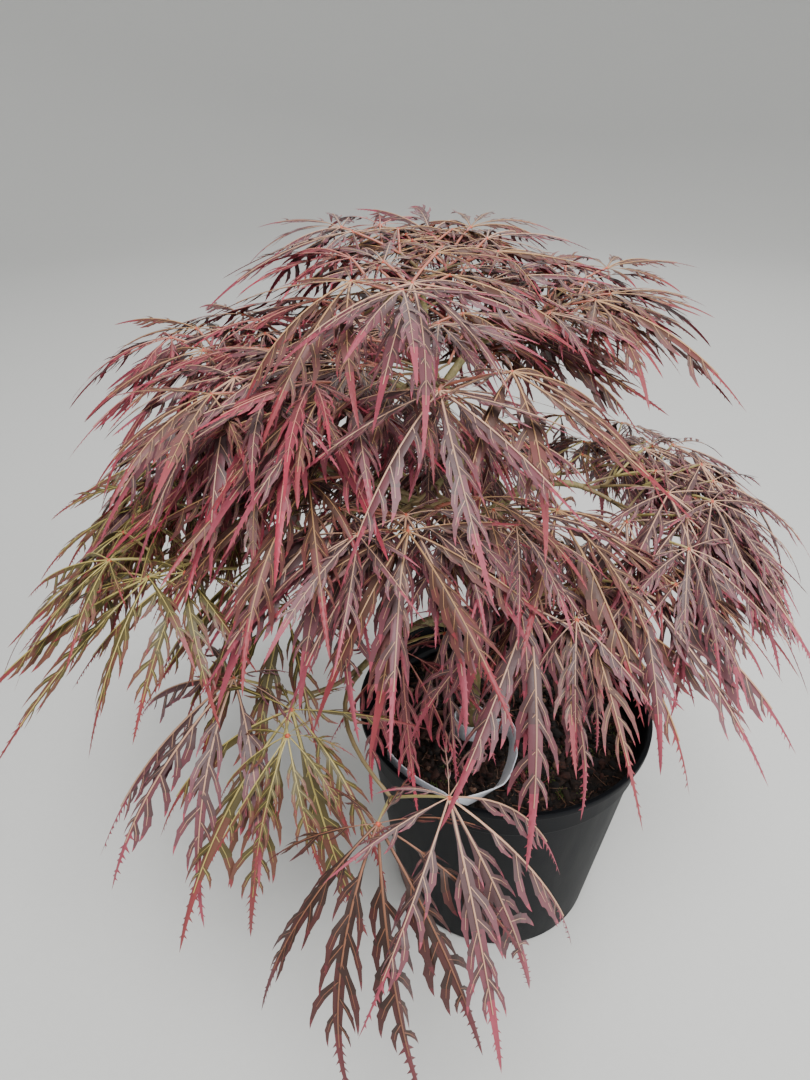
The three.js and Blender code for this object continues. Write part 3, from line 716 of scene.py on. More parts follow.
def pinnule(outline, side, along, rng):
    """A hooked side lobe, which leaves the strip at a slant and curves forwards to a fine point."""
    length = along_table(PINNULE_LENGTHS, along) * rng.uniform(*PINNULE_SIZES)
    swing = rng.uniform(-PINNULE_SWING, PINNULE_SWING)
    tilt = rng.uniform(-PINNULE_TILT, PINNULE_TILT)
    root = np.array((along, PINNULE_FOOT * along_table(SPINE_WIDTHS, along)))
    place, before, rows, middles = root, 0, [], []
    for t, outer, inner in (*PINNULE_ROWS, (1, 0, 0)):
        turn = math.radians(lerp(*PINNULE_TURNS, t) + swing)
        way = np.array((math.cos(turn), math.sin(turn)))
        place = place + way * length * (t - before)
        before = t
        normal = np.array((-way[1], way[0]))
        width = length * PINNULE_HALF_WIDTH
        lift = tilt * (place[1] - root[1])
        rows.append([(*(place - normal * width * inner), lift), (*(place + normal * width * outer), lift)])
        middles.append((place, normal, lift + RIB_RIDGE / 2))
    rows[-1] = rows[-1][:1]
    strip(outline, mirrored(rows, side), PINNULE_SLOTS)
    vein = []
    for row in VEIN_ROWS:
        place, normal, lift = middles[row]
        width = normal * VEIN_HALF_WIDTH * (1 - VEIN_TAPER * row)
        vein.append([(*(place - width), lift), (*(place + width), lift)])
    strip(outline, mirrored(vein, side), [RIB] * (len(vein) - 1))


def mirrored(rows, side):
    """Rows of points on one side of the lobe, ordered so that their faces look up."""
    return [[(along, side * across, lift) for along, across, lift in row[::side]] for row in rows]


def tooth(outline, side, along, rng):
    """A small forward-pointing spike on the tail's edge. The spikes shrink towards the lobe's tip."""
    shrink = TOOTH_SHRINK * (TOOTH_END - along)
    length = rng.uniform(*TOOTH_LENGTHS) * shrink
    across = along_table(SPINE_WIDTHS, along)
    inset = TOOTH_INSET * across
    rows = [
        [(along, inset, 0), (along + TOOTH_FOOT * shrink, inset, 0)],
        [(along + length, across + TOOTH_FLARE * length, 0)],
    ]
    strip(outline, mirrored(rows, side), [TIP])


def lobe_points(leaf, template, angle, share, random):
    """The template bent along a lobe's arc, with its own small sway and twist."""
    slope = leaf.slope * math.cos(math.radians(angle)) + random(LOBE_SLOPE_SPREAD)
    start = math.radians(slope)
    bend = math.radians(leaf.bend + random(LOBE_BEND_SPREAD))
    length = leaf.length * share * LOBE_STRETCH * (1 + random(LOBE_LENGTH_SPREAD))
    sway, twist = random(LOBE_SWAY), math.radians(random(LOBE_TWIST))
    heading = leaf.heading + angle + random(LOBE_TURN_SPREAD)
    along, across, upward = template.T
    curl = start + bend * along
    out = length * (np.sin(curl) - math.sin(start)) / bend
    drop = length * (math.cos(start) - np.cos(curl)) / bend
    turn = twist * along
    sideways = length * (across * np.cos(turn) - upward * np.sin(turn) + sway * along**2)
    lift = length * (across * np.sin(turn) + upward * np.cos(turn))
    way, left = direction(heading, 0), direction(heading + 90, 0)
    out += lift * np.sin(curl)
    drop -= lift * np.cos(curl)
    return leaf.hub + out[:, None] * way + sideways[:, None] * left - drop[:, None] * UP


def tint_of(leaf, random):
    """The tint of the first patch that takes the leaf, or else bronze or mauve."""
    draw = (1 + random(1)) / 2
    for patch in PATCHES:
        if draw < patch.share and (leaf.hub > patch.low).all() and (leaf.hub < patch.high).all():
            return patch.tint
    return "bronze" if draw < BRONZE_SHARE else "mauve"


def in_photo(points):
    """Where points in millimetres stand in the photograph, in pixels across and down."""
    way = points - np.array(CAMERA_PLACE) / MM
    depth = way @ direction(90, -CAMERA_DOWN)
    across = PHOTO_WIDTH / 2 + PHOTO_FOCAL * way[:, 0] / depth
    down = PHOTO_HEIGHT / 2 - PHOTO_FOCAL * (way @ direction(90, 90 - CAMERA_DOWN)) / depth
    return across, down


def hides_opening(points):
    across, down = in_photo(points)
    share = 0
    for left, top, right, bottom in OPENINGS:
        share += np.mean((across > left) & (across < right) & (down > top) & (down < bottom))
    return share > OPENING_SHARE


class Crown:
    """The twigs, leaf stalks and leaves as they grow. The leaves are kept in several pieces."""

    def __init__(self, looks):
        self.looks = looks
        self.long_lobes = [lobe_template(seed, LONG_LOBE) for seed in range(TEMPLATES)]
        self.short_lobes = [lobe_template(seed, SHORT_LOBE) for seed in range(TEMPLATES)]
        self.low, self.high = (np.array(corner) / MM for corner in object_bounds())
        self.twigs, self.stalks, self.leaves = Grown(), Grown(), Grown()
        self.nodes = []
        self.pieces = 0

    def holds(self, points):
        """Whether points lie in the crown's space."""
        return (points > self.low - CROWN_SLACK).all() and (points < self.high + CROWN_SLACK).all()

    def grow_shoot(self, mass):
        line = curve(shoot_line(mass), SHOOT_POINTS)
        radii = np.linspace(SHOOT_RADIUS * SHOOT_TAPER, TWIG_RADIUS, SHOOT_POINTS)
        tube(self.twigs, line, radii, SHOOT_SIDES, 0)

    def grow_twigs(self, twigs, index):
        """Adds twigs, each with a pair of leaves. A finer twig that would be bare is left out."""
        for number, twig in enumerate(twigs):
            seed = index * LEAF_SEEDS + number * PAIR_SEEDS + FIRST_LEAF_SEED
            grown = 0
            for side in (-1, 1):
                leaf = leaf_on(twig, side, seed + side)
                if self.grow_blade(leaf, twig.fine):
                    self.grow_stalk(leaf)
                    grown += 1
            if twig.root is not None and (grown or not twig.fine):
                radius = FINE_TWIG_RADIUS if twig.fine else TWIG_RADIUS
                radii = np.linspace(*TWIG_TAPER, TWIG_POINTS) * radius
                line = curve(arched(twig.root, twig.end, TWIG_ARCH), TWIG_POINTS)
                tube(self.twigs, line, radii, TWIG_SIDES, 0)

    def grow_blade(self, leaf, fine):
        """Adds a leaf's lobes and hub, unless they leave the crown's space or hide an opening."""
        random = seeded(leaf.seed * BLADE_SEEDS + FIRST_BLADE_SEED)
        tint = TINT_NAMES.index(tint_of(leaf, random))
        choice = TEMPLATES // 2
        first = round(choice * (1 - lowness(leaf.hub)))
        added = []
        for number, (angle, share) in enumerate(LOBES):
            templates = self.long_lobes if share > SHORT_SHARE else self.short_lobes
            template, triangles, kinds = templates[first + (leaf.seed + number) % choice]
            points = lobe_points(leaf, template, angle, share, random)
            added.append((points, triangles, kinds + TONES * tint))
        whole = np.concatenate([points for points, _, _ in added])
        if not self.holds(whole) or (fine and hides_opening(whole)):
            return False
        for points, triangles, kinds in added:
            self.leaves.add(points, triangles, kinds)
        self.grow_hub(leaf)
        return True

    def grow_hub(self, leaf):
        """Adds the small button where a leaf's lobes meet its stalk."""
        rim = [direction(360 / HUB_SIDES * k, HUB_DIP) * HUB_RADIUS for k in range(HUB_SIDES)]
        button = np.array([*rim, UP * HUB_HEIGHT, -UP * HUB_HEIGHT])
        pairs = [(k, (k + 1) % HUB_SIDES) for k in range(HUB_SIDES)]
        fan = [(a, b, HUB_SIDES) for a, b in pairs] + [(b, a, HUB_SIDES + 1) for a, b in pairs]
        self.leaves.add(leaf.hub + button, fan, TONES * len(TINTS))

    def grow_stalk(self, leaf):
        line = curve(arched(leaf.root, leaf.hub, STALK_ARCH), TWIG_POINTS)
        radii = np.linspace(STALK_RADIUS * STALK_TAPER, STALK_RADIUS, TWIG_POINTS)
        slot = 0 if leaf.hub[2] < PINK_STALK_HEIGHT else 1
        tube(self.stalks, line, radii, STALK_SIDES, slot)

    def close_leaves(self):
        """Makes a piece of the leaves so far, in place of the masses that they belong to."""
        self.pieces += 1
        shown = self.leaves.mesh(f"leaves_{self.pieces}", self.looks["leaves"])
        if self.nodes:
            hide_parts(*self.nodes)
        self.leaves, self.nodes = Grown(), []

    def close_if_full(self):
        if self.leaves.size() > PIECE_TRIANGLES:
            self.close_leaves()


def grow_crown(looks):
    """Every mass by the source's rule, carried to finer twigs, and finer twigs along the boughs."""
    crown = Crown(looks)
    for index, mass in enumerate(MASSES):
        crown.close_if_full()
        crown.nodes.append(f"foliage_{mass.name}")
        crown.grow_shoot(mass)
        twigs = twigs_of(mass, index)
        if mass.name not in SPARSE:
            twigs += fine_twigs_of(mass, index, twigs)
        crown.grow_twigs(twigs, index)
    for index, row in enumerate(BOUGHS, len(MASSES)):
        crown.close_if_full()
        if row.name not in SPARSE:
            crown.grow_twigs(bough_twigs_of(row, index), index)
    crown.grow_twigs(trunk_twigs(), 0)
    crown.close_leaves()
    twigs = crown.twigs.mesh("twigs", [looks["twig"]])
    stalks = crown.stalks.mesh("leaf_stalks", [looks["stalk_green"], looks["stalk_pink"]])


def limb(line, radius_at, sides, steps):
    """A limb along a curve as a bmesh: a cylinder cut into rings, each with its own place and radius."""
    shape = bmesh.new()
    bmesh.ops.create_cone(shape, cap_ends=True, segments=sides, radius1=1, radius2=1, depth=1)
    rising = [e for e in shape.edges if abs(e.verts[0].co.z - e.verts[1].co.z) > 0.5]
    bmesh.ops.subdivide_edges(shape, edges=rising, cuts=steps - 1, use_grid_fill=True)
    for vertex in shape.verts:
        along = min(1, max(0, vertex.co.z + 0.5))
        centre = bezier(line, along)
        low, high = max(0, along - LIMB_STEP), min(1, along + LIMB_STEP)
        ahead = Vector(bezier(line, high) - bezier(line, low)).normalized()
        across = ahead.cross(LEVEL).normalized()
        way = across * vertex.co.x - across.cross(ahead) * vertex.co.y
        radius = radius_at(along, centre, way)
        vertex.co = (Vector(centre) + way * radius) * MM
    return shape


def joined(shapes):
    """Several bmeshes as one mesh."""
    whole = bmesh.new()
    for shape in shapes:
        part = finished(shape)
        whole.from_mesh(part)
        bpy.data.meshes.remove(part)
    return finished(whole)


def bark_relief(centre, way, depth):
    """Shallow ridges that run along the bark, with a few bumps."""
    ridges = Vector((way.x * RIDGES_ROUND, way.y * RIDGES_ROUND, centre[2] * RIDGES_ALONG))
    bumps = Vector(centre) * BUMPS_ALONG + way * BUMPS_ROUND
    return depth * (RIDGES * noise.noise(ridges) + BUMPS * noise.noise(bumps))


def graft_swelling(height):
    return GRAFT_SWELLING * math.exp(-(((height - GRAFT_HEIGHT) / GRAFT_SPREAD) ** 2))


def trunk_radius(along, centre, way):
    flare = math.exp((TRUNK_FOOT[2] - centre[2]) / FLARE_HEIGHT)
    taper = lerp(TRUNK_RADIUS, TRUNK_TIP_RADIUS, along)
    ribs = 1 + FLARE_RIB_DEPTH * flare * math.cos(FLARE_RIBS * math.atan2(way.y, way.x))
    bark = bark_relief(centre, way, TRUNK_BARK)
    return lerp(taper, FLARE_RADIUS, flare) * ribs + graft_swelling(centre[2]) + bark


def bough_limb(row, joints):
    def radius_at(along, centre, way):
        taper = lerp(*BOUGH_RADII, along)
        collar = BOUGH_COLLAR * math.exp(-along * BOUGH_COLLAR_FADE)
        joint = BOUGH_JOINT * abs(math.sin(joints * along)) ** JOINT_SHARPNESS
        return taper + collar + joint + bark_relief(centre, way, BOUGH_BARK)

    return limb(bough_line(row), radius_at, BOUGH_SIDES, BOUGH_STEPS)


def grow_limbs(looks):
    shapes = [limb(TRUNK_LINE, trunk_radius, TRUNK_SIDES, TRUNK_STEPS)]
    for number, row in enumerate(BOUGHS):
        shapes.append(bough_limb(row, BOUGH_JOINTS[number % len(BOUGH_JOINTS)]))
    shown = piece("trunk_and_boughs", joined(shapes), [looks["bark"]])
    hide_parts("trunk", *[f"bough_{row.name}" for row in BOUGHS])


def tape_radius(along, centre, way):
    edge = TAPE_THICKNESS * min(1, TAPE_EDGE * along, TAPE_EDGE * (1 - along))
    creases = TAPE_CREASES * noise.noise(way * TAPE_CREASE_TURNS)
    return TRUNK_RADIUS + TAPE_CLEARANCE + graft_swelling(centre[2]) + edge + creases


def graft_tape(looks):
    """Two turns of stretched tape round the graft, a little way up the trunk."""
    shapes = []
    for foot, width in TAPE_BANDS:
        line = (trunk_at(foot), trunk_at(foot + width / 2), trunk_at(foot + width))
        shapes.append(limb(line, tape_radius, TAPE_SIDES, TAPE_STEPS))
    shown = piece("graft_tape", joined(shapes), [looks["tape"]])


def turning_edges(shape, angle):
    """The edges whose two faces turn by more than some degrees."""
    least = math.radians(angle)
    return [edge for edge in shape.edges if edge.is_manifold and edge.calc_face_angle(0) > least]


def finished(shape, angle=SHARP_EDGE):
    """A bmesh as a mesh, smooth but for its sharp edges."""
    for face in shape.faces:
        face.smooth = True
    for edge in turning_edges(shape, angle):
        edge.smooth = False
    mesh = bpy.data.meshes.new("finished")
    shape.to_mesh(mesh)
    shape.free()
    return mesh


def wall_inside(height):
    """The inside radius of the pot's tapered wall at a height."""
    return lerp(POT_BASE_RADIUS, POT_WALL_TOP_RADIUS, height / POT_SHOULDER) - POT_WALL


def turned(profile, sides):
    """A bmesh of a profile of radii and heights spun about the Z axis."""
    shape = bmesh.new()
    vertices = [shape.verts.new((radius * MM, 0, height * MM)) for radius, height in profile]
    edges = [shape.edges.new(pair) for pair in zip(vertices, vertices[1:])]
    bmesh.ops.spin(
        shape,
        geom=vertices + edges,
        cent=(0, 0, 0),
        axis=(0, 0, 1),
        angle=2 * math.pi,
        steps=sides,
        use_merge=True,
    )
    bmesh.ops.remove_doubles(shape, verts=shape.verts, dist=MERGED)
    bmesh.ops.recalc_face_normals(shape, faces=shape.faces)
    return shape


def make_pot(looks):
    lip_bottom = POT_HEIGHT - POT_LIP_DEPTH
    collar_foot = POT_WALL_TOP_RADIUS + POT_STEP
    shoulder_inside = POT_SHOULDER + POT_STEP_LIFT
    profile = [
        (0, 0),
        (POT_BASE_RADIUS - POT_BEVEL, 0),
        (POT_BASE_RADIUS, POT_BEVEL),
        (POT_WALL_TOP_RADIUS, POT_SHOULDER),
        (collar_foot, POT_SHOULDER + POT_STEP),
        (POT_COLLAR_RADIUS, lip_bottom),
        (POT_RIM_RADIUS, lip_bottom),
        (POT_RIM_RADIUS, POT_HEIGHT),
        (POT_LIP_INSIDE, POT_HEIGHT),
        (POT_COLLAR_RADIUS - POT_WALL, lip_bottom - POT_LIP_DIP),
        (collar_foot - POT_WALL, shoulder_inside + POT_STEP),
        (POT_WALL_TOP_RADIUS - POT_WALL, shoulder_inside),
        (wall_inside(POT_FLOOR), POT_FLOOR),
        (0, POT_FLOOR),
    ]
    shape = turned(profile, POT_SIDES)
    bmesh.ops.bevel(
        shape,
        geom=turning_edges(shape, ROUNDED_EDGE),
        affect="EDGES",
        offset=EDGE_ROUNDING * MM,
        offset_type="OFFSET",
        segments=EDGE_STEPS,
        profile=0.5,
        material=-1,
        clamp_overlap=True,
    )
    shell = piece("nursery_pot", finished(shape), [looks["pot"]])
    drill_floor(shell)
    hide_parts("pot")


def drill_floor(shell):
    """Cuts the drainage holes through the pot's floor."""
    drill = bmesh.new()
    for hole in range(DRAIN_HOLES):
        turn = (hole + 0.5) * 2 * math.pi / DRAIN_HOLES
        place = Vector((math.cos(turn), math.sin(turn), 0)) * DRAIN_CIRCLE_RADIUS * MM
        bmesh.ops.create_cone(
            drill,
            cap_ends=True,
            segments=DRAIN_HOLE_SIDES,
            radius1=DRAIN_HOLE_RADIUS * MM,
            radius2=DRAIN_HOLE_RADIUS * MM,
            depth=DRILL_LENGTH * MM,
            matrix=Matrix.Translation(place),
        )
    drill_mesh = bpy.data.meshes.new("drill")
    drill.to_mesh(drill_mesh)
    drill.free()
    cutter = placed("drill", drill_mesh)
    cut = shell.modifiers.new("drain_holes", "BOOLEAN")
    cut.operation = "DIFFERENCE"
    cut.solver = "EXACT"
    cut.object = cutter
    graph = bpy.context.evaluated_depsgraph_get()
    drilled = bpy.data.meshes.new_from_object(shell.evaluated_get(graph))
    shell.modifiers.clear()
    shell.data = drilled
    bpy.data.objects.remove(cutter)


SOIL_WALL = wall_inside(SOIL_EDGE)
SOIL_RADIUS = SOIL_WALL - GAP


def soil_height(radius):
    shoulder = SOIL_WALL - SOIL_SHOULDER_WIDTH
    heights = (SOIL_TOP, SOIL_TOP - SOIL_SAG, SOIL_EDGE)
    return np.interp(radius, (SOIL_FLAT_RADIUS, shoulder, SOIL_RADIUS), heights)


def soil_relief(x, y):
    """How far the mix stands above or below its level: crumbs on low mounds."""
    layers = [share * noise.noise(Vector((x, y, z)) / spacing) for spacing, z, share in SOIL_GRAINS]
    return SOIL_RELIEF * sum(layers)


def make_soil(looks):
    profile = [(0, POT_FLOOR + GAP), (wall_inside(POT_FLOOR) - GAP, POT_FLOOR + GAP)]
    for radius in np.linspace(SOIL_RADIUS, 0, SOIL_RINGS + 1):
        profile.append((radius, soil_height(radius)))
    shape = turned(profile, SOIL_SIDES)
    for vertex in shape.verts:
        x, y, z = vertex.co / MM
        if z > SOIL_EDGE - GAP:
            vertex.co.z += soil_relief(x, y) * MM
    shown = piece("potting_mix_body", finished(shape, SOIL_SHARP_EDGE), [looks["soil"]])
    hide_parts("potting_mix")


def scatter(rng, inner=0):
    """A random place on the mix, clear of the trunk's foot."""
    while True:
        radius = (SOIL_WALL - LITTER_MARGIN) * math.sqrt(rng.random())
        x, y, _ = direction(rng.random() * 360, 0) * radius
        away = math.hypot(x - TRUNK_FOOT[0], y - TRUNK_FOOT[1])
        if radius >= inner and away > FLARE_RADIUS + LITTER_CLEARANCE:
            return np.array((x, y, soil_height(radius) + soil_relief(x, y)))


def cut_box():
    """The corners of a cube of side 1 about the origin, and its triangles."""
    corners = [(x, y, z) for x in (-0.5, 0.5) for y in (-0.5, 0.5) for z in (-0.5, 0.5)]
    sides = ((0, 1, 3, 2), (4, 6, 7, 5), (0, 4, 5, 1), (2, 3, 7, 6), (0, 2, 6, 4), (1, 5, 7, 3))
    triangles = [triangle for a, b, c, d in sides for triangle in ((a, b, c), (a, c, d))]
    return np.array(corners), triangles


def add_chips(litter, rng):
    """Bark chips: boxes with uneven corners, most of them small."""
    corners, triangles = cut_box()
    for _ in range(CHIPS):
        length = lerp(*CHIP_LENGTHS, rng.random() ** CHIP_SKEW)
        width = length * rng.uniform(*CHIP_WIDTHS)
        thickness = CHIP_THICKNESS[0] + CHIP_THICKNESS[1] * length
        chip = corners * (length, width, thickness) * rng.uniform(*CHIP_CORNERS, (8, 3))
        turn = Matrix.Rotation(rng.random() * 2 * math.pi, 3, "Z")
        tilt = Matrix.Rotation(math.radians(rng.uniform(-CHIP_TILT, CHIP_TILT)), 3, "Y")
        chip = chip @ np.array(turn @ tilt).T
        place = scatter(rng) + UP * CHIP_LIFT * thickness
        litter.add(chip + place, triangles, int(rng.choice(len(CHIP_SHARES), p=CHIP_SHARES)))


def add_fibres(litter, rng):
    """Fibres: thin threads that bow a little, some pale and some brown."""
    for _ in range(FIBRES):
        start = scatter(rng)
        way = direction(rng.random() * 360, 0) * rng.uniform(*FIBRE_LENGTHS)
        bow = direction(rng.random() * 360, FIBRE_RISE) * FIBRE_BOW
        line = curve((start, start + way / 2 + bow, start + way), FIBRE_POINTS) + UP * FIBRE_LIFT
        radii = np.full(FIBRE_POINTS, rng.uniform(*FIBRE_RADII))
        slot = LITTER_SLOTS[rng.choice(("pale_wood_chip", "coir_fibre"))]
        tube(litter, line, radii, FIBRE_SIDES, slot)


def add_moss(litter, rng):
    """Moss: tufts of short blades that lean all ways."""
    for _ in range(MOSS_TUFTS):
        middle = scatter(rng, inner=MOSS_FROM)
        for _ in range(MOSS_BLADES):
            root = middle + np.append(rng.normal(0, MOSS_SPREAD, 2), 0)
            lean = direction(rng.random() * 360, rng.uniform(*MOSS_RISES))
            blade = lean * rng.uniform(*MOSS_LENGTHS)
            line = (root, root + blade * MOSS_BEND, root + blade)
            tube(litter, line, MOSS_RADII, MOSS_SIDES, LITTER_SLOTS["cushion_moss"])


def make_litter(looks):
    rng = np.random.default_rng(LITTER_SEED)
    litter = Grown()
    add_chips(litter, rng)
    add_fibres(litter, rng)
    add_moss(litter, rng)
    shown = litter.mesh("bark_chips", looks["litter"])


def fallen_leaf(looks):
    """One small red leaf that lies on the mix by the label."""
    grown = Grown()
    templates = [lobe_template(seed, LONG_LOBE) for seed in range(2)]
    leaf = Leaf(None, np.array(FALLEN_LEAF_PLACE), **FALLEN_LEAF)
    random = seeded(FALLEN_LEAF_SEED)
    for number, (angle, share) in enumerate(LOBES[:FALLEN_LEAF_LOBES]):
        template, triangles, kinds = templates[number % 2]
        points = lobe_points(leaf, template, angle, share, random)
        points[:, 2] = np.maximum(points[:, 2], SOIL_TOP + GAP)
        grown.add(points, triangles, kinds + TONES * TINT_NAMES.index("crimson"))
    shown = grown.mesh("fallen_leaf", looks["leaves"])


def catmull_rom(points, t):
    """A point of the smooth curve through some points."""
    place = t * (len(points) - 1)
    k = min(int(place), len(points) - 2)
    f = place - k
    a, b, c, d = (points[min(max(k + i, 0), len(points) - 1)] for i in (-1, 0, 1, 2))
    squared = (2 * a - 5 * b + 4 * c - d) * f**2
    cubed = (3 * b - a - 3 * c + d) * f**3
    return 0.5 * (2 * b + (c - a) * f + squared + cubed)


def arc(middle, turns, radius, steps):
    """Points of a level arc from one heading to another."""
    return [middle + direction(lerp(*turns, k / steps), 0) * radius for k in range(steps + 1)]


def label_line():
    """The label's way over the mix: its loop, its bend, and the run along the rim."""
    base = np.array((0, 0, SOIL_TOP + GAP))
    foot = np.array((TRUNK_FOOT[0], TRUNK_FOOT[1], 0))
    points = arc(base + foot, LOOP_TURNS, LOOP_RADIUS, LOOP_POINTS)
    for k, (x, y) in enumerate(TAIL_BEND):
        points.append(base + np.array((x, y, RIM_RUN_LIFT * k / len(TAIL_BEND))))
    points += arc(base + UP * RIM_RUN_LIFT, RIM_RUN_TURNS, RIM_RUN_RADIUS, RIM_RUN_POINTS)
    fine = np.array([catmull_rom(points, t) for t in np.linspace(0, 1, LABEL_SAMPLES)])
    lengths = np.concatenate(((0,), np.cumsum(np.linalg.norm(np.diff(fine, axis=0), axis=1))))
    even = np.linspace(0, lengths[-1], LABEL_STEPS + 1)
    return np.stack([np.interp(even, lengths, fine[:, axis]) for axis in range(3)], axis=1)


def make_label(looks):
    """A blank strip, which narrows from the head to the tail, with rounded edges."""
    line = label_line()
    shape = bmesh.new()
    bmesh.ops.create_grid(shape, x_segments=LABEL_STEPS, y_segments=1, size=0.5)
    for vertex in shape.verts:
        along = vertex.co.x + 0.5
        step = round(along * LABEL_STEPS)
        way = line[min(step + 1, LABEL_STEPS)] - line[max(step - 1, 0)]
        across = np.array((-way[1], way[0], 0)) / math.hypot(way[0], way[1])
        narrowing = min(1, max(0, (along - HEAD_END) / (TAIL_START - HEAD_END)))
        width = lerp(HEAD_WIDTH, TAIL_WIDTH, narrowing)
        easing = min(along - LEAN_FROM, LEAN_TO - along) / LEAN_EASE
        lean = math.radians(LABEL_LEAN * min(1, max(0, easing)))
        rise = across * math.sin(lean) + UP * math.cos(lean)
        vertex.co = Vector(line[step] + rise * (vertex.co.y + 0.5) * width) * MM
    shown = piece("blank_label", finished(shape), [looks["label"]])
    thickness = shown.modifiers.new("thickness", "SOLIDIFY")
    thickness.thickness = LABEL_THICKNESS * MM
    thickness.offset = 0
    edge = shown.modifiers.new("edge", "BEVEL")
    edge.width = LABEL_EDGE * MM
    edge.segments = LABEL_EDGE_STEPS
    edge.limit_method = "ANGLE"
    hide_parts("plant_label")


MOULD_PITTING, BARK_PORES = 1.2, 1.8  # the size of their spots
PORE_HEX = "b9a988"
POT_SPECULAR = 0.12
GRAIN_ROUGHNESS = 0.6
SKIN_SPREAD = 0.1  # how far a leaf's roughness varies
MIX_FACTOR, MIX_A, MIX_B, MIX_RESULT = 0, 6, 7, 2  # a colour mix node's sockets, which share names


def node(tree, kind, settings, links):
    """Adds a node. Settings are its sockets' values, its own values or its ramp's stops."""
    made = tree.nodes.new(kind)
    for name, value in settings.items():
        if name == "stops":
            for place, code in value[2:]:
                made.color_ramp.elements.new(place)
            for element, (place, code) in zip(made.color_ramp.elements, value):
                element.position = place
                element.color = linear(code)
        elif isinstance(name, int) or name in made.inputs:
            made.inputs[name].default_value = value
        else:
            setattr(made, name, value)
    for name, source in links.items():
        tree.links.new(source, made.inputs[name])
    return made


def surface(name, colours, gloss, relief, grain, stretch=(1, 1, 1), detail=4, ior=1.5):
    """A material whose colour, gloss and relief follow one grain on object coordinates.

    Colours are one sRGB hex, or a ramp's stops. Gloss is the lowest and highest roughness.
    The relief's depth and the size of the grain's coarsest spots are in millimetres.
    """
    material = bpy.data.materials.new(name)
    material.use_nodes = True
    tree = material.node_tree
    shader = tree.nodes["Principled BSDF"]
    shader.inputs["IOR"].default_value = ior
    place = node(tree, "ShaderNodeTexCoord", {}, {})
    scaled = node(tree, "ShaderNodeMapping", {"Scale": stretch}, {"Vector": place.outputs["Object"]})
    settings = {"Scale": 1 / (grain * MM), "Detail": detail, "Roughness": GRAIN_ROUGHNESS}
    pattern = node(tree, "ShaderNodeTexNoise", settings, {"Vector": scaled.outputs["Vector"]})
    spots = pattern.outputs["Fac"]
    if isinstance(colours, str):
        shader.inputs["Base Color"].default_value = linear(colours)
    else:
        ramp = node(tree, "ShaderNodeValToRGB", {"stops": colours}, {"Fac": spots})
        tree.links.new(ramp.outputs["Color"], shader.inputs["Base Color"])
    low, high = gloss
    dulling = node(tree, "ShaderNodeMapRange", {"To Min": low, "To Max": high}, {"Value": spots})
    tree.links.new(dulling.outputs["Result"], shader.inputs["Roughness"])
    bump = node(tree, "ShaderNodeBump", {"Distance": relief * MM}, {"Height": spots})
    tree.links.new(bump.outputs["Normal"], shader.inputs["Normal"])
    return material


def pot_polypropylene():
    # Black injection-moulded polypropylene: a satin skin with faint flow streaks, greyed by dust,
    # and the fine pitting of the mould.
    colours = ((0.3, "07080b"), (0.6, "0c0e12"), (0.85, "14161b"))
    streaks = {"grain": 9, "stretch": (1, 1, 0.12), "detail": 5}
    material = surface("black_polypropylene", colours, (0.45, 0.62), 0.05, ior=1.49, **streaks)
    tree = material.node_tree
    place = tree.nodes["Texture Coordinate"].outputs["Object"]
    settings = {"Scale": 1 / (MOULD_PITTING * MM), "Detail": 2}
    pitting = node(tree, "ShaderNodeTexNoise", settings, {"Vector": place})
    tree.links.new(pitting.outputs["Fac"], tree.nodes["Bump"].inputs["Height"])
    tree.nodes["Principled BSDF"].inputs["Specular IOR Level"].default_value = POT_SPECULAR
    return material


def young_maple_bark():
    # Young maple bark: thin and green-brown, with fine lengthwise lines and pale breathing pores.
    colours = ((0.25, "4d4a2c"), (0.5, "7a7048"), (0.75, "a08c62"))
    lines = {"grain": 3, "stretch": (1, 1, 0.16), "detail": 6}
    material = surface("young_maple_bark", colours, (0.62, 0.7), 0.35, **lines)
    tree = material.node_tree
    place = tree.nodes["Texture Coordinate"].outputs["Object"]
    settings = {"Scale": 1 / (BARK_PORES * MM), "Detail": 1}
    pores = node(tree, "ShaderNodeTexNoise", settings, {"Vector": place})
    stops = {"stops": ((0.66, "000000"), (0.74, "ffffff"))}
    spots = node(tree, "ShaderNodeValToRGB", stops, {"Fac": pores.outputs["Fac"]})
    links = {MIX_FACTOR: spots.outputs["Color"], MIX_A: tree.nodes["Color Ramp"].outputs["Color"]}
    mixed = node(tree, "ShaderNodeMix", {"data_type": "RGBA", MIX_B: linear(PORE_HEX)}, links)
    tree.links.new(mixed.outputs[MIX_RESULT], tree.nodes["Principled BSDF"].inputs["Base Color"])
    return material


def plant_skin(name, code, roughness, grain, relief):
    # Leaf, stalk or green twig: one plain tint, with a waxy skin whose gloss and relief vary finely.
    gloss = (roughness - SKIN_SPREAD, roughness + SKIN_SPREAD)
    return surface(name, code, gloss, relief, grain, detail=3, ior=1.45)


def litter_bit(name, dark, light):
    # A small bit on the mix: one tint with a darker grain across it, matt.
    grain = {"grain": 2.5, "stretch": (1, 1, 2.5), "detail": 3}
    return surface(name, ((0.35, dark), (0.7, light)), gloss=(0.85, 0.95), relief=0.2, **grain)


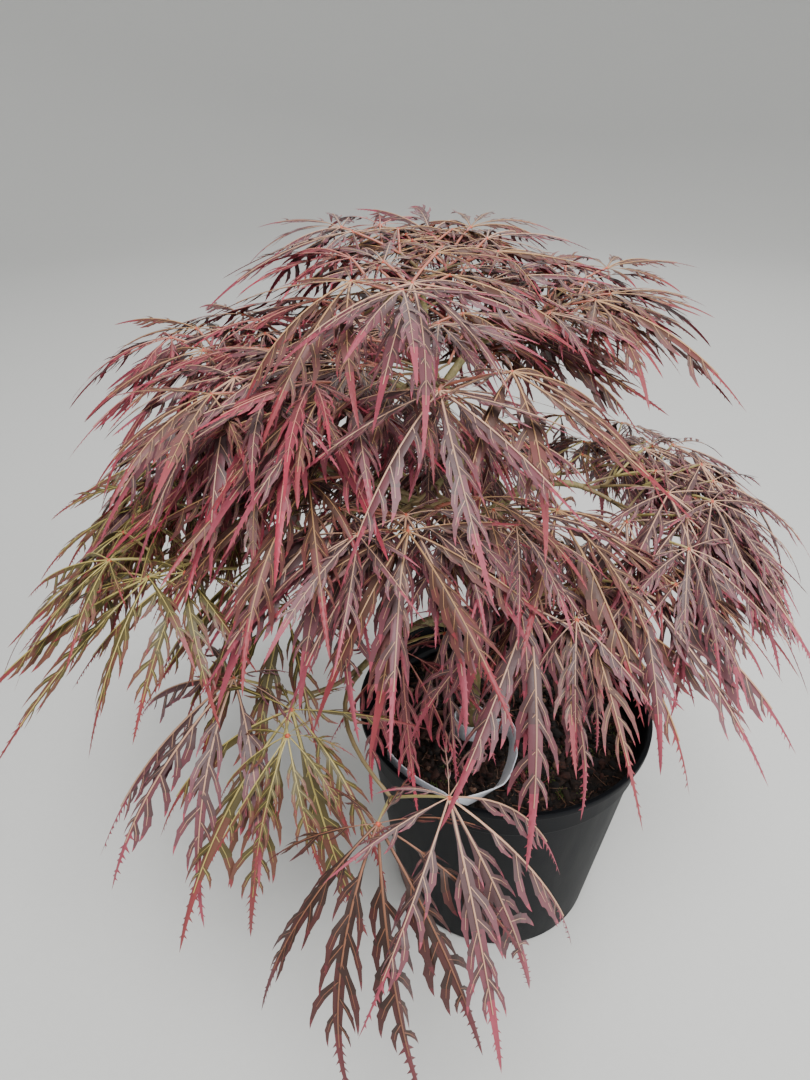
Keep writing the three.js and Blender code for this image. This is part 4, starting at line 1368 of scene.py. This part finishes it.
def make_looks():
    leaves = []
    for tint, codes in TINTS.items():
        for code, (part, *skin) in zip(codes, LEAF_SKINS):
            leaves.append(plant_skin(f"{tint}_leaf_{part}", code, *skin))
    leaves.append(plant_skin("leaf_hub", HUB_HEX, 0.45, 1.2, 0.05))
    crumbs = ((0.35, "0d0907"), (0.5, "22160f"), (0.68, "3f2a20"))
    white = ((0.3, "dfe5f0"), (0.6, "f1f4fb"))
    milky = ((0.3, "a99f86"), (0.7, "d8d2bf"))
    return {
        "leaves": leaves,
        "twig": plant_skin("green_twig", "7d6b4a", 0.55, 1.5, 0.1),
        "stalk_green": plant_skin("green_leaf_stalk", "a89a62", 0.45, 2, 0.05),
        "stalk_pink": plant_skin("pink_leaf_stalk", "b3705e", 0.45, 2, 0.05),
        "bark": young_maple_bark(),
        "pot": pot_polypropylene(),
        # Moist composted bark: dark crumbs with brown between them, fully matt.
        "soil": surface("composted_bark", crumbs, (0.9, 1), 1.6, 4, detail=8),
        # White polypropylene strip: smooth and slightly glossy, a little dulled by handling.
        "label": surface("white_polypropylene", white, (0.3, 0.5), 0.02, 14, detail=5, ior=1.49),
        # Stretched grafting film: milky, with a dull gloss and fine creases round the stem.
        "tape": surface("grafting_film", milky, (0.35, 0.6), 0.15, 2.5, (0.4, 0.4, 2.5)),
        "litter": [litter_bit(kind, *colours) for kind, colours in LITTER.items()],
        # Pale matt floor, with a grain that is just too faint to distract.
        "floor": surface("pale_floor", ((0.3, "c8c8c5"), (0.7, "cacac7")), (0.88, 0.92), 0.02, 6),
    }


# The stage, in metres: the pale floor runs up into a round wall.
FLOOR_RADIUS = 2.2
COVE_RADIUS = 1.4
COVE_STEPS = 12
COVE_HEIGHT = 2.6
FLOOR_RINGS, FLOOR_SIDES = 4, 96
SENSOR = 36
NEAREST = 0.01  # what is closer to the camera isn't seen
AIM = Vector((-0.05, 0, 0.25))  # where the lights point
LIGHTS = (  # name, place, side length and power in watts
    ("key_light", (0.0, -1.0, 2.3), 1.3, 76),
    ("right_fill", (1.7, -0.9, 1.3), 1.4, 38),
    ("rear_light", (0.3, 1.7, 1.7), 1.4, 18),
)
SKY_HEX = "e9ecf0"
SKY_STRENGTH = 0.38


def lay_floor(looks):
    profile = [(FLOOR_RADIUS * (k / FLOOR_RINGS), 0) for k in range(FLOOR_RINGS)]
    for k in range(COVE_STEPS + 1):
        turn = math.radians(90 * k / COVE_STEPS)
        out, up = COVE_RADIUS * math.sin(turn), COVE_RADIUS * (1 - math.cos(turn))
        profile.append((FLOOR_RADIUS + out, up))
    profile.append((FLOOR_RADIUS + COVE_RADIUS, COVE_HEIGHT))
    shape = turned([(radius / MM, height / MM) for radius, height in profile], FLOOR_SIDES)
    bmesh.ops.reverse_faces(shape, faces=shape.faces)
    floor = placed("floor", finished(shape))
    floor.data.materials.append(looks["floor"])
    floor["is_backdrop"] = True


def set_camera():
    """The camera that took the photograph."""
    camera = placed("photo_camera", bpy.data.cameras.new("photo_camera"))
    camera.data.sensor_width = SENSOR
    camera.data.lens = SENSOR * PHOTO_FOCAL / PHOTO_HEIGHT
    camera.data.clip_start = NEAREST
    camera.location = CAMERA_PLACE
    camera.rotation_euler = (math.radians(90 - CAMERA_DOWN), 0, 0)
    bpy.context.scene.camera = camera


def set_lights():
    """Large soft lamps from the front, the right and the rear, under an even pale sky."""
    for name, place, size, power in LIGHTS:
        lamp = placed(name, bpy.data.lights.new(name, "AREA"))
        lamp.data.size = size
        lamp.data.energy = power
        lamp.location = place
        lamp.rotation_euler = (AIM - Vector(place)).to_track_quat("-Z", "Y").to_euler()
    sky = bpy.data.worlds.new("soft_daylight")
    bpy.context.scene.world = sky
    sky.use_nodes = True
    background = sky.node_tree.nodes["Background"]
    background.inputs["Color"].default_value = linear(SKY_HEX)
    background.inputs["Strength"].default_value = SKY_STRENGTH


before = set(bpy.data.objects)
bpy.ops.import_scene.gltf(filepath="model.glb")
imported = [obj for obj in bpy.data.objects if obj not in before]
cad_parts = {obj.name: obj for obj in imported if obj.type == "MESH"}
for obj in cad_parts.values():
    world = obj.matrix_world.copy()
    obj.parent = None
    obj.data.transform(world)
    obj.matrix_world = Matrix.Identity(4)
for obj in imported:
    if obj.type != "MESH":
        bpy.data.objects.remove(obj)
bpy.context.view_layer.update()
looks = make_looks()
lay_floor(looks)
set_camera()
set_lights()
grow_crown(looks)
grow_limbs(looks)
graft_tape(looks)
make_pot(looks)
make_soil(looks)
make_litter(looks)
fallen_leaf(looks)
make_label(looks)
bpy.context.view_layer.update()
